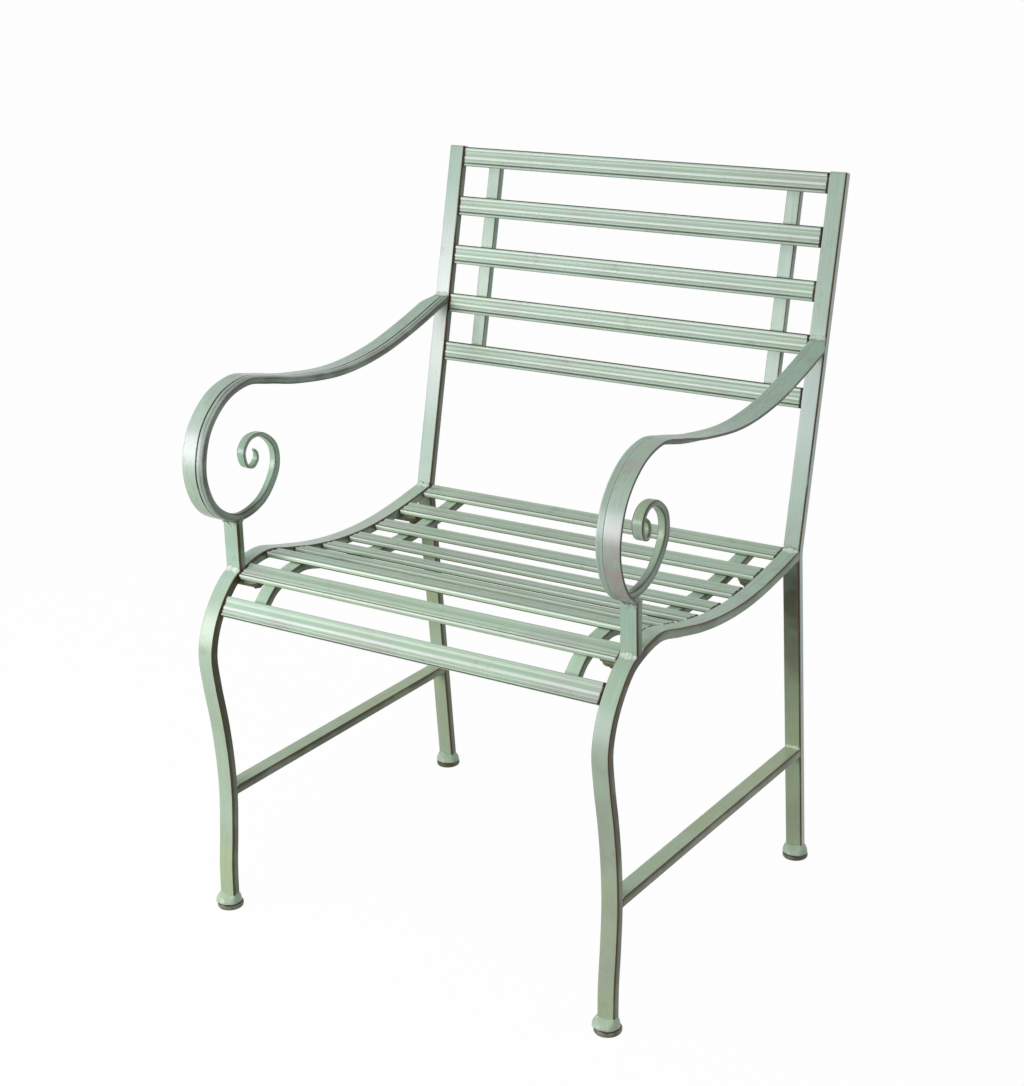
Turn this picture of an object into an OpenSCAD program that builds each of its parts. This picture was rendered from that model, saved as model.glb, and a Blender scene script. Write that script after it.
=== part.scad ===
// Garden armchair in flat iron bar with fluted slats and scroll arms.
// X runs across the chair, Y from front to back and Z up. The origin is on the
// floor, at the middle of the space that the chair takes up.

/* [Overall] */
// Width over the two side frames
frame_w = 570; // [500:1:640]
// Depth of the seat, from the front of the knees to the face of the back posts
seat_d = 453; // [430:1:490]
// Height of the seat at the crown near its front edge
seat_h = 442; // [430:1:465]
// Depth of the hollow of the seat below the crown
seat_dip = 30; // [20:1:40]
// Distance of the crown of the seat behind the front of the knees
crown_in = 112; // [100:1:120]
// Drop from the crown of the seat over the knee to the straight part of the front leg
knee_h = 192; // [180:1:210]
// Rise of the seat from the hollow to the back posts
rear_rise = 21; // [8:1:24]
// Height of the back posts above their bend
back_h = 446; // [380:1:520]
// Lean of the back, in degrees from upright
back_lean = 13.4; // [8:0.1:18]
// Splay of the rear legs, in degrees from upright
leg_splay = 4; // [1:0.1:6]

/* [Side frame bar] */
// Width of the flat bar
bar_w = 22; // [18:1:28]
// Thickness of the flat bar
bar_t = 11; // [9:0.5:13]
// Inside radius at the bend of the back posts
post_bend_r = 50; // [30:5:100]
// Distance of the hollow of the front leg behind the knee
leg_hollow = 17; // [12:1:22]
// Distance that the front leg comes forward again from its hollow to its foot
toe_out = 11; // [6:1:16]
// Height of the top face of the stretcher
stretcher_h = 160; // [130:1:190]

/* [Arms] */
// Height of the arm above the seat crown, where it meets the back post
arm_rise = 238; // [220:1:260]
// Distance of the arm post behind the front of the knee
arm_post_in = 61; // [55:1:70]
// Height of the underside of the scroll above the seat crown
arm_post_h = 49; // [40:1:60]
// Height of the scroll, from its underside to the crest of the arm
scroll_h = 169; // [155:1:180]
// Width of the bar that is rolled into the scroll
scroll_w = 9.5; // [8:0.5:12]
// Thickness of the bar that is rolled into the scroll
scroll_t = 10; // [8:0.5:11]
// Inset of the scroll bar from the inner face of the side frame
scroll_in = 1.5; // [0:0.5:3]
// Width of the flat strip beside the scroll bar
strip_w = 21; // [16:1:24]
// Thickness of the flat strip
strip_t = 3; // [2:0.5:4]

/* [Slats] */
// Width of a slat
slat_w = 25; // [22:0.5:28]
// Depth of a slat, from its face to its open back
slat_d = 7; // [6:0.5:13]
// Wall of the rolled slat section
slat_wall = 1.8; // [1.4:0.1:2.2]
// Depth of the flutes in the face of a slat
flute = 1; // [0.4:0.1:1.4]
// Gap between the end of a slat and the side frame
slat_gap = 1; // [0.5:0.1:3]
// Distance from the back post to the middle of the rearmost seat slat
seat_first = 5.5; // [4:0.5:10]
// Distance from the middle of the frontmost seat slat, round the knee, to the front of the knee
seat_last = 63.4; // [58:0.1:72]
// Pitch of the back slats along the posts
back_pitch = 64.2; // [45:0.1:75]
// Distance from the top of the posts to the first back slat
back_first = 1.4; // [0:0.1:10]

/* [Straps and lugs] */
// Width of the straps that carry the slats
strap_w = 18; // [14:1:24]
// Thickness of the straps
strap_t = 10; // [6:0.5:12]
// Distance of a strap from the inner face of the side frame
strap_in = 38; // [32:1:60]
// Distance of the end of a strap from the outer edge of the last slat on it
strap_short = 3; // [0:0.5:8]
// Width of a lug
lug_w = 24; // [18:0.5:26]
// Thickness of a lug
lug_t = 5; // [3:0.5:6]
// Distance of the bolt from the inner face of the side frame
bolt_in = 15; // [13:0.5:18]
// Length of lug that lies on the side frame bar
lug_lap = 15; // [8:1:18]
// Slats that are bolted to the seat lugs, counted from 0 at the back
seat_bolted = [1, 7]; // [0:1:8]
// Slats that are bolted to the back lugs, counted from 0 at the top
back_bolted = [1, 3]; // [0:1:4]

/* [Bolts] */
// Diameter of the bolts
bolt_d = 8; // [6:1:8]
// Width of a bolt head across its flats
head_af = 13; // [11:0.5:14]
// Height of a bolt head
head_h = 5.3; // [4:0.1:6]
// Diameter of a washer
washer_d = 16; // [15:0.5:18]
// Thickness of a washer
washer_t = 1.6; // [1:0.1:2]
// Length of the threaded block inside the slat
block_l = 19; // [16:1:24]

/* [Feet] */
// Diameter of a foot
foot_d = 34; // [30:1:44]
// Height of a foot
foot_h = 12; // [8:1:16]

/* [Hidden] */

paint = [0.67, 0.78, 0.70];
paint_light = [0.72, 0.82, 0.75];
paint_dark = [0.42, 0.47, 0.38];

// Slats in the seat and in the back, each a piece with its own name above
seat_slats = 9;
back_slats = 5;
// Steps between two points of a smooth line
curve_steps = 6;
// Clearance between pieces that lie against each other
fit = 0.3;
// Clearance all round a bolt in its threaded block
thread_fit = 0.05;
// Clearance all round a bolt in its lug
hole_fit = 0.5;
// How far a cut runs past the piece that it cuts
over = 1;
// How far the bend of the back posts lies below the top of the side rail
bend_drop = 7;

// Faces of the side frames across the chair
x_out = frame_w / 2;
x_in = x_out - bar_w;
x_bolt = x_in - bolt_in;
x_scroll = x_in + scroll_in;
x_strip = x_scroll + scroll_w;
slat_len = 2 * (x_in - slat_gap);

// The construction is drawn with Y = 0 at the face of the back posts, on the level of their bend
knee = -seat_d;
bend_z = seat_h - seat_dip + rear_rise - bend_drop;
foot_in = leg_hollow - toe_out;
front_foot_y = knee + foot_in + bar_t / 2;
rear_foot_y = (bend_z - foot_h) * tan(leg_splay) + bar_t / 2;
post_top = [back_h * tan(back_lean), bend_z + back_h];
post_dir = [-sin(back_lean), -cos(back_lean)];

// Back faces of the posts and of the straps at their tops, and the middle of the space
strap_from = back_first + strap_short;
y_front = front_foot_y - foot_d / 2;
y_post = post_top[0] + bar_t * cos(back_lean);
y_strap = post_top[0] + post_dir[0] * strap_from + (slat_d + fit + strap_t) * cos(back_lean);
y_mid = (y_front + max(y_post, y_strap)) / 2;

// Depth of the ceiling inside a slat, and of the lugs' faces, below the face of a slat
slat_roof = flute + slat_wall + 0.4;
lug_drop = max(slat_d, bar_t) + fit;

function unit(v) = v / norm(v);
function turned(v) = [-v[1], v[0]];
function last(list) = list[len(list) - 1];
function slice(list, a, b) = [for (i = [a : b]) list[i]];
function reversed(list) = [for (i = [len(list) - 1 : -1 : 0]) list[i]];
function between(a, b, t) = a + (b - a) * t;

// A smooth line through hand-set points, each stretch a cubic that follows its neighbours
function cubic(a, b, c, d, t) =
    (2 * b + (c - a) * t + (2 * a - 5 * b + 4 * c - d) * t * t + (3 * b - a - 3 * c + d) * t * t * t) / 2;
function smooth(p) =
    let (q = concat([2 * p[0] - p[1]], p, [2 * last(p) - p[len(p) - 2]]))
    concat(
        [for (i = [1 : len(q) - 3]) for (j = [0 : curve_steps - 1])
            cubic(q[i - 1], q[i], q[i + 1], q[i + 2], j / curve_steps)],
        [last(p)]
    );

// A corner at b, between a and c, rounded with radius r
function rounded(a, b, c, r, steps) =
    let (
        u = unit(a - b),
        v = unit(c - b),
        half = acos(u * v) / 2,
        centre = b + unit(u + v) * r / sin(half),
        start = b + u * r / tan(half) - centre,
        sweep = 180 - 2 * half,
        side = sign(start[0] * v[1] - start[1] * v[0])
    )
    [for (i = [0 : steps])
        let (g = side * sweep * i / steps)
        centre + [start[0] * cos(g) - start[1] * sin(g), start[0] * sin(g) + start[1] * cos(g)]];

// The line moved to its left by d, and the flat bar between the two
function normal(line, i) = turned(unit(line[min(i + 1, len(line) - 1)] - line[max(i - 1, 0)]));
function beside(line, d) = [for (i = [0 : len(line) - 1]) line[i] + normal(line, i) * d];
function bar(line, d) = concat(line, reversed(beside(line, d)));

// Distance along a line up to each of its points, and the point at distance s
function runs(line) = [for (i = 0, s = 0; i < len(line);
    s = s + (i < len(line) - 1 ? norm(line[i + 1] - line[i]) : 0), i = i + 1) s];
function at(line, run, s) =
    let (i = min(len([for (r = run) if (r < s) r]), len(line) - 1), k = max(i, 1))
    between(line[k - 1], line[k], (s - run[k - 1]) / (run[k] - run[k - 1]));
function stretch(line, run, s0, s1) = concat(
    [at(line, run, s0)],
    [for (i = [0 : len(line) - 1]) if (run[i] > s0 + 1 && run[i] < s1 - 1) line[i]],
    [at(line, run, s1)]
);

// Front face of a back post and its rear leg, from the top down
post_line = concat(
    [post_top],
    rounded(post_top, [0, bend_z], [bend_z * tan(leg_splay), 0], post_bend_r + bar_t, 6),
    [[bend_z * tan(leg_splay), 0]]
);

// Top face of a side rail, from the back post to the knee, and on down the face of the front leg.
// The rear of the seat and the lower leg keep their shape between the post, the knee and the floor.
function in_dip(y, share) = [knee + y * crown_in, seat_h - share * seat_dip];
function in_knee(y, z) = [knee + y * crown_in, seat_h - z * knee_h];
front_of_dip = knee + 2.31 * crown_in;
rail_points = [
    [18, seat_h - seat_dip + rear_rise],
    [0.2 * front_of_dip, seat_h - seat_dip + rear_rise / 2],
    [0.49 * front_of_dip, seat_h - seat_dip + rear_rise / 8],
    [0.74 * front_of_dip, seat_h - seat_dip],
    [front_of_dip, seat_h - 0.93 * seat_dip],
    in_dip(1.86, 0.7),
    in_dip(1.42, 0.33),
    in_dip(1, 0),
    in_knee(0.57, 0.052),
    in_knee(0.33, 0.146),
    in_knee(0.107, 0.323),
    in_knee(0, 0.521),
    in_knee(0.027, 0.74),
    in_knee(0.098, 1),
    [knee + leg_hollow - 1, 0.8 * (seat_h - knee_h)],
    [knee + leg_hollow, 0.6 * (seat_h - knee_h)],
    [knee + leg_hollow - 0.36 * toe_out, 0.4 * (seat_h - knee_h)],
    [knee + leg_hollow - 0.82 * toe_out, 0.22 * (seat_h - knee_h)],
    [knee + foot_in, foot_h / 2]
];
rail_line = smooth(rail_points);
rail_run = runs(rail_line);
rail_at_post = min([for (i = [0 : len(rail_line) - 1]) if (rail_line[i][0] <= 0) rail_run[i]]);
rail_at_knee = rail_run[11 * curve_steps];
seat_pitch = (rail_at_knee - seat_last - rail_at_post - seat_first) / (seat_slats - 1);

// Outer face of an arm, from the back post over the crest and round into the scroll.
// It is set from the post behind it and from the foot of the scroll.
arm_h = seat_h + arm_rise;
arm_back = [(arm_h - bend_z) * tan(back_lean), arm_h];
arm_foot = [knee + arm_post_in, seat_h + arm_post_h];
arm_points = concat(
    [for (p = [[0.05, 0.015], [-0.45, -0.142], [-0.905, -0.249]]) arm_back + p * scroll_h],
    [for (p = [
        [1.296, 0.834], [0.81, 0.888], [0.485, 0.959], [0.231, 1], [-0.03, 0.923], [-0.237, 0.716],
        [-0.308, 0.414], [-0.207, 0.142], [0.036, 0], [0.32, 0.053], [0.503, 0.249], [0.509, 0.444],
        [0.373, 0.571], [0.225, 0.577], [0.139, 0.491], [0.157, 0.379], [0.231, 0.343],
        [0.287, 0.385], [0.29, 0.444], [0.26, 0.482]
    ]) arm_foot + p * scroll_h]
);
arm_line = smooth(arm_points);
arm_foot_index = 11 * curve_steps + 1;
// Thickness of the scroll bar at each point, drawn out to a thin tip in the curl
arm_taper = [
    1, 1, 1, 1, 1, 1, 1, 1, 1, 1, 1, 1, 1.05, 1.05, 1, 0.8, 0.7, 0.72, 0.72, 0.68, 0.6, 0.55, 0.45
];
arm_thick = [for (i = [0 : len(arm_line) - 1])
    let (k = min(floor(i / curve_steps), len(arm_taper) - 2))
    scroll_t * between(arm_taper[k], arm_taper[k + 1], i / curve_steps - k)];
arm_inside = [for (i = [0 : len(arm_line) - 1]) arm_line[i] + normal(arm_line, i) * arm_thick[i]];

// Rolled section of a slat: Y from its front or lower edge to its rear or upper one, Z = 0 at its face
edge = slat_w / 2;
slat_section = [
    [edge, -slat_d], [edge, -2], [edge - 0.6, -0.6], [edge - 2, 0], [edge - 5, 0], [edge - 7, -flute],
    [1, -flute], [-1, 0], [-3, 0], [-4.5, -flute], [-5.5, -flute / 2], [-6.5, -flute / 2],
    [-7.5, -flute - 0.3], [-8.5, -flute - 0.3], [-9.5, -flute / 3], [1 - edge, -flute / 3],
    [0.2 - edge, -1.2], [-edge, -2.4], [-edge, -slat_d], [slat_wall - edge, -slat_d],
    [slat_wall - edge, -slat_roof], [edge - slat_wall, -slat_roof], [edge - slat_wall, -slat_d]
];

// Where a slat sits: the middle of its face and the turn about X
function seat_of(a, b) = [(a + b) / 2, atan2(a[1] - b[1], a[0] - b[0])];
function seat_place(i) =
    let (s = rail_at_post + seat_first + i * seat_pitch)
    seat_of(at(rail_line, rail_run, s - slat_w / 2), at(rail_line, rail_run, s + slat_w / 2));
function back_place(i) =
    let (s = back_first + i * back_pitch)
    seat_of(post_top + post_dir * s, post_top + post_dir * (s + slat_w));

// Puts what is drawn with Y = 0 at the back posts about the origin
module chair() {
    translate([0, -y_mid, 0]) children();
}

// An outline in Y and Z, w wide from x on
module across(x, w, outline) {
    translate([x, 0, 0]) rotate([90, 0, 90]) linear_extrude(w) polygon(outline);
}

// An outline cut away from a side frame or an arm, right across it
module cut(outline) {
    across(x_in - over, max(bar_w, x_strip + strip_w - x_in) + 2 * over, outline);
}

// The same piece on the right, or mirrored to the left
module on_side(side) {
    if (side < 0) mirror([1, 0, 0]) children();
    else children();
}

module on_slat(place) {
    translate([0, place[0][0], place[0][1]]) rotate([place[1], 0, 0]) children();
}

// Everything below the top face of the feet
module below_feet() {
    translate([-frame_w, -2 * seat_d, -foot_h]) cube([2 * frame_w, 4 * seat_d, 2 * foot_h]);
}

module back_post(side) {
    color(paint) chair() on_side(side) difference() {
        across(x_in, bar_w, bar(post_line, bar_t));
        below_feet();
    }
}

module front_leg_rail(side) {
    color(paint) chair() on_side(side) difference() {
        across(x_in, bar_w, bar(rail_line, bar_t));
        cut(bar(post_line, 4 * bar_t));
        below_feet();
    }
}

module stretcher(side) {
    y0 = knee + leg_hollow + bar_t / 2;
    y1 = (bend_z - stretcher_h) * tan(leg_splay) + bar_t / 2;
    color(paint) chair() on_side(side) difference() {
        translate([x_in, y0, stretcher_h - bar_t]) cube([bar_w, y1 - y0, bar_t]);
        cut(bar(rail_line, bar_t));
        cut(bar(post_line, bar_t));
    }
}

// A short post that stands on the rail and ends at the underside of the scroll
module arm_post(side) {
    low = seat_h - seat_dip;
    high = arm_foot[1] + scroll_t / 2;
    color(paint) chair() on_side(side) difference() {
        translate([x_in, arm_foot[0], low]) cube([bar_w, bar_t, high - low]);
        cut(bar(rail_line, 4 * bar_t));
        cut(concat(arm_line, reversed(arm_inside)));
    }
}

module arm_scroll(side) {
    color(paint_light) chair() on_side(side) difference() {
        across(x_scroll, scroll_w, concat(arm_line, reversed(arm_inside)));
        cut(bar(post_line, 4 * bar_t));
    }
}

module arm_strip(side) {
    line = slice(arm_line, 0, arm_foot_index);
    color(paint_light) chair() on_side(side) difference() {
        across(x_strip, strip_w, bar(line, strip_t));
        cut(bar(post_line, 4 * bar_t));
    }
}

module foot(side, y) {
    r = foot_d / 2;
    color(paint_dark) chair() translate([side * (x_out - bar_w / 2), y, 0]) rotate_extrude($fn = 48)
        polygon([[0, 0], [r - 2, 0], [r - 0.6, 1.2], [r, 3], [r, foot_h - 4], [r - 1, foot_h - 1.6],
            [r - 3, foot_h], [0, foot_h]]);
}

module slat(place) {
    color(paint_light) chair() on_slat(place) across(-slat_len / 2, slat_len, slat_section);
}

module seat_strap(side) {
    s0 = rail_at_post + seat_first - slat_w / 2 + strap_short;
    s1 = s0 + (seat_slats - 1) * seat_pitch + slat_w - 2 * strap_short;
    face = stretch(beside(rail_line, slat_d + fit), rail_run, s0, s1);
    color(paint) chair() on_side(side) across(x_in - strap_in - strap_w, strap_w, bar(face, strap_t));
}

module back_strap(side) {
    run = (back_slats - 1) * back_pitch + slat_w - 2 * strap_short;
    top = post_top + post_dir * strap_from + turned(post_dir) * (slat_d + fit);
    color(paint) chair() on_side(side)
        across(x_in - strap_in - strap_w, strap_w, bar([top, top + post_dir * run], strap_t));
}

// A flat lug with a round nose, welded under the side frame bar and bolted to a slat
module lug(side, place) {
    color(paint) chair() on_side(side) on_slat(place) difference() {
        translate([0, 0, -lug_drop - lug_t]) {
            translate([x_bolt, 0, 0]) cylinder(d = lug_w, h = lug_t, $fn = 48);
            translate([x_bolt, -lug_w / 2, 0]) cube([bolt_in + lug_lap, lug_w, lug_t]);
        }
        translate([x_bolt, 0, -lug_drop - lug_t - over])
            cylinder(r = bolt_d / 2 + hole_fit, h = lug_t + 2 * over, $fn = 32);
    }
}

// A threaded block in the slat, that stands on its lug
module nut_blocks(places) {
    block_w = slat_w - 2 * slat_wall - 2 * fit;
    block_foot = fit - lug_drop;
    block_h = -block_foot - slat_roof - fit;
    color(paint_dark) chair() for (place = places) for (side = [-1, 1]) on_slat(place) difference() {
        translate([side * x_bolt - block_l / 2, -block_w / 2, block_foot]) cube([block_l, block_w, block_h]);
        translate([side * x_bolt, 0, block_foot - over])
            cylinder(r = bolt_d / 2 + thread_fit, h = block_h + 2 * over, $fn = 32);
    }
}

module washers(places) {
    color(paint_dark) chair() for (place = places) for (side = [-1, 1]) on_slat(place)
        translate([side * x_bolt, 0, -lug_drop - lug_t - washer_t]) difference() {
            cylinder(d = washer_d, h = washer_t, $fn = 48);
            translate([0, 0, -over]) cylinder(r = bolt_d / 2 + hole_fit, h = washer_t + 2 * over, $fn = 32);
        }
}

// A hexagon head under the washer, and a shank that ends just short of the ceiling of the slat
module bolts(places) {
    under = -lug_drop - lug_t - washer_t;
    tip = -slat_roof - over;
    color(paint_dark) chair() for (place = places) for (side = [-1, 1]) on_slat(place)
        translate([side * x_bolt, 0, 0]) {
            translate([0, 0, under - head_h]) cylinder(d = head_af / cos(30), h = head_h, $fn = 6);
            translate([0, 0, under - head_h / 2]) cylinder(d = bolt_d, h = tip - under + head_h / 2, $fn = 32);
        }
}

seat_bolt_places = [for (i = seat_bolted) seat_place(i)];
back_bolt_places = [for (i = back_bolted) back_place(i)];

back_post(-1);  // left_back_post
back_post(1);  // right_back_post
front_leg_rail(-1);  // left_front_leg_rail
front_leg_rail(1);  // right_front_leg_rail
stretcher(-1);  // left_stretcher
stretcher(1);  // right_stretcher
arm_post(-1);  // left_arm_post
arm_post(1);  // right_arm_post
arm_scroll(-1);  // left_arm_scroll
arm_scroll(1);  // right_arm_scroll
arm_strip(-1);  // left_arm_strip
arm_strip(1);  // right_arm_strip
foot(-1, front_foot_y);  // front_left_foot
foot(1, front_foot_y);  // front_right_foot
foot(-1, rear_foot_y);  // rear_left_foot
foot(1, rear_foot_y);  // rear_right_foot
slat(seat_place(0));  // seat_slat_1
slat(seat_place(1));  // seat_slat_2
slat(seat_place(2));  // seat_slat_3
slat(seat_place(3));  // seat_slat_4
slat(seat_place(4));  // seat_slat_5
slat(seat_place(5));  // seat_slat_6
slat(seat_place(6));  // seat_slat_7
slat(seat_place(7));  // seat_slat_8
slat(seat_place(8));  // seat_slat_9
slat(back_place(0));  // back_slat_1
slat(back_place(1));  // back_slat_2
slat(back_place(2));  // back_slat_3
slat(back_place(3));  // back_slat_4
slat(back_place(4));  // back_slat_5
seat_strap(-1);  // left_seat_strap
seat_strap(1);  // right_seat_strap
back_strap(-1);  // left_back_strap
back_strap(1);  // right_back_strap
lug(-1, seat_place(seat_bolted[0]));  // rear_left_seat_lug
lug(1, seat_place(seat_bolted[0]));  // rear_right_seat_lug
lug(-1, seat_place(seat_bolted[1]));  // front_left_seat_lug
lug(1, seat_place(seat_bolted[1]));  // front_right_seat_lug
lug(-1, back_place(back_bolted[0]));  // upper_left_back_lug
lug(1, back_place(back_bolted[0]));  // upper_right_back_lug
lug(-1, back_place(back_bolted[1]));  // lower_left_back_lug
lug(1, back_place(back_bolted[1]));  // lower_right_back_lug
nut_blocks(seat_bolt_places);  // seat_nut_blocks
nut_blocks(back_bolt_places);  // back_nut_blocks
bolts(seat_bolt_places);  // seat_bolts
bolts(back_bolt_places);  // back_bolts
washers(seat_bolt_places);  // seat_washers
washers(back_bolt_places);  // back_washers
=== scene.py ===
import math

import bpy
import numpy as np
from mathutils import Matrix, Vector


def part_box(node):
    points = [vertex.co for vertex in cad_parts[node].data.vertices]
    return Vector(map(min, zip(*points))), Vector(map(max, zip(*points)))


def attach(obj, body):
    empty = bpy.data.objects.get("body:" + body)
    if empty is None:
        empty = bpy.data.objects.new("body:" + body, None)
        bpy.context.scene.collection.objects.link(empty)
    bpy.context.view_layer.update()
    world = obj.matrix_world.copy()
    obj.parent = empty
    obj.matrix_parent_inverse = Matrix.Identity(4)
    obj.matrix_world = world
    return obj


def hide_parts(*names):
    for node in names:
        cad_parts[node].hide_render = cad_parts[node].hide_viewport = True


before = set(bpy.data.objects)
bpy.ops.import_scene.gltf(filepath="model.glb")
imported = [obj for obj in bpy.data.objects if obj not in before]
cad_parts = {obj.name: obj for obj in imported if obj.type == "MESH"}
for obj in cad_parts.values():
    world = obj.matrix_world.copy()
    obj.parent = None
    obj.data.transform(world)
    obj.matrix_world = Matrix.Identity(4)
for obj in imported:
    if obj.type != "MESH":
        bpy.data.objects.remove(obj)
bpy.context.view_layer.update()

mm = 0.001
sides = (("left", -1), ("right", 1))
marks = ("wear", "glaze", "rub", "dust")      # shares of paint that each point of a surface carries: worn lines and painted shade, glaze and painted shading, painted highlights, and dust
knotSteps = 24      # points that a smooth line has for each of its knots
kneeKnot = 11       # knot of the rail's line at the front of the knee
legKnot = 14        # knot where the knee has turned into the leg
crossKnot = 2.5     # knot of the arm's line on the post
# metres by which the paint's pattern moves along each kind of piece, the other way on the left
moved = dict(
    post=1.3, rail=2.1, stretcher=3.3, armPost=4.7, scroll=5.3, strip=6.1, seatStrap=7.9, backStrap=8.7,
    lug=9.1, slat=1.7, backSlat=20,      # from slat to slat, and from the seat's slats to the back's
)


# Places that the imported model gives

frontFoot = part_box("front_right_foot")
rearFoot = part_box("rear_right_foot")
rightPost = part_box("right_back_post")
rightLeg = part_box("right_front_leg_rail")
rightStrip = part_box("right_arm_strip")
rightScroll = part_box("right_arm_scroll")
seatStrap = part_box("right_seat_strap")
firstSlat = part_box("back_slat_1")

# Sizes of a side frame, in metres, with Y to the back and Z up from the floor
side = dict(
    barW=rightPost[1].x - rightPost[0].x,
    barT=11 * mm,
    innerX=rightPost[0].x,
    seatD=453 * mm,
    seatH=442 * mm,
    seatDip=30 * mm,        # from the crown down to the hollow of the seat
    rearRise=21 * mm,       # from the hollow up to the rail's end at the post
    bendDrop=7 * mm,
    crownIn=112 * mm,       # from the knee back to the crown
    kneeH=192 * mm,
    legHollow=17 * mm,
    toeOut=11 * mm,
    backLean=math.radians(13.4),
    legSplay=math.radians(4),
    topZ=rightPost[1].z,
    bendRadius=61 * mm,
    footH=frontFoot[1].z,
    stretcherTop=160 * mm,
    corner=1.3 * mm,
)
side["kneeY"] = (frontFoot[0].y + frontFoot[1].y) / 2 - side["barT"] / 2 - side["legHollow"] + side["toeOut"]
side["postY"] = side["kneeY"] + side["seatD"]
side["bendZ"] = side["seatH"] - side["seatDip"] + side["rearRise"] - side["bendDrop"]


# Lines in the side view: arrays of (y, z)

def lineThrough(knots, steps=knotSteps):
    # each stretch is (2b + (c - a)t + (2a - 5b + 4c - d)t2 + (3b - a - 3c + d)t3) / 2, from knot b to knot c
    p = np.asarray(knots, float)
    q = np.vstack([2 * p[:1] - p[1:2], p, 2 * p[-1:] - p[-2:-1]])
    a, b, c, d = (q[i:len(q) - 3 + i, None, :] for i in range(4))
    t = (np.arange(steps) / steps)[None, :, None]
    body = (2 * b + (c - a) * t + (2 * a - 5 * b + 4 * c - d) * t**2 + (3 * b - a - 3 * c + d) * t**3) / 2
    return np.vstack([body.reshape(-1, 2), p[-1:]])


def runAlong(line):
    # distance along the line up to each of its points
    return np.concatenate([[0], np.cumsum(np.linalg.norm(np.diff(line, axis=0), axis=1))])


def pointAt(line, distance):
    # place on the line at a distance from its start, straight between the line's points
    run = runAlong(line)
    return np.stack([np.interp(distance, run, line[:, k]) for k in range(2)], axis=-1)


def evenly(line, gap):
    # the same line with its points about one gap apart: length / gap steps, rounded
    total = runAlong(line)[-1]
    return pointAt(line, np.linspace(0, total, max(2, int(round(total / gap)) + 1)))


def leftOf(line):
    # unit normal on the left of the line, (-dz, dy)
    step = np.gradient(line, axis=0)
    step /= np.linalg.norm(step, axis=1)[:, None]
    return np.stack([-step[:, 1], step[:, 0]], axis=1)


def roundedCorner(a, b, c, radius, steps=16):
    # arc that touches a-b and b-c: centre on the bisector at radius / sin(half the corner's angle)
    u, v = (a - b) / np.linalg.norm(a - b), (c - b) / np.linalg.norm(c - b)
    half = math.acos(float(u @ v)) / 2
    centre = b + (u + v) / np.linalg.norm(u + v) * radius / math.sin(half)
    start = b + u * radius / math.tan(half) - centre
    turn = np.linspace(0, math.pi - 2 * half, steps) * np.sign(start[0] * v[1] - start[1] * v[0])
    return centre + np.stack([
        start[0] * np.cos(turn) - start[1] * np.sin(turn),
        start[0] * np.sin(turn) + start[1] * np.cos(turn),
    ], axis=1)


def rise(value, low, high):
    # 0 below low, 1 above high, 3t^2 - 2t^3 between
    t = np.clip((value - low) / (high - low), 0, 1)
    return t * t * (3 - 2 * t)


def zone(value, low, full, fade, high):
    # a rise from low to full times 1 - a rise from fade to high
    return rise(value, low, full) * (1 - rise(value, fade, high))


def postLine():
    # straight stile, round bend and straight splayed leg: y = distance from the bend * tan(lean)
    s = side
    top = np.array([s["postY"] + (s["topZ"] - s["bendZ"]) * math.tan(s["backLean"]), s["topZ"]])
    bend = np.array([s["postY"], s["bendZ"]])
    low = np.array([s["postY"] + (s["bendZ"] - s["footH"] / 2) * math.tan(s["legSplay"]), s["footH"] / 2])
    return np.vstack([[top], roundedCorner(top, bend, low, s["bendRadius"]), [low]])


def railLine():
    # smooth line through the seat's hollow, the crown, the knee and the leg's hollow; each point is a share
    # of the distance from post to hollow or from knee to crown, and of the dip, the knee's height or the leg
    s = side
    knee, high, dip, rear = s["kneeY"], s["seatH"], s["seatDip"], s["rearRise"]
    leg = high - s["kneeH"]
    hollow = knee + s["legHollow"]
    reach = 2.31 * s["crownIn"] - s["seatD"]
    knots = [[s["postY"] + 18 * mm, high - dip + rear]]
    knots += [[s["postY"] + share * reach, high - dip + up] for share, up in
              ((0.2, rear / 2), (0.49, rear / 8), (0.74, 0), (1, 0.07 * dip))]
    knots += [[knee + y * s["crownIn"], high - share * dip] for y, share in
              ((1.86, 0.7), (1.42, 0.33), (1, 0))]
    knots += [[knee + y * s["crownIn"], high - z * s["kneeH"]] for y, z in
              ((0.57, 0.052), (0.33, 0.146), (0.107, 0.323), (0, 0.521), (0.027, 0.74), (0.098, 1))]
    knots += [[hollow - mm, 0.8 * leg], [hollow, 0.6 * leg], [hollow - 0.36 * s["toeOut"], 0.4 * leg]]
    knots += [[hollow - 0.82 * s["toeOut"], 0.22 * leg], [hollow - s["toeOut"], s["footH"] / 2]]
    return lineThrough(knots)


arm = dict(
    rise=238 * mm,
    postIn=61 * mm,
    postH=49 * mm,
    scrollH=169 * mm,
    scrollX=rightScroll[0].x,
    scrollW=9.5 * mm,
    scrollT=10 * mm,
    stripX=rightStrip[0].x,
    stripW=21 * mm,
    stripT=3 * mm,
    stripKnots=10.98,
)
arm["back"] = np.array([
    side["postY"] + (side["seatH"] + arm["rise"] - side["bendZ"]) * math.tan(side["backLean"]),
    side["seatH"] + arm["rise"],
])
arm["foot"] = np.array([side["kneeY"] + arm["postIn"], side["seatH"] + arm["postH"]])


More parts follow.
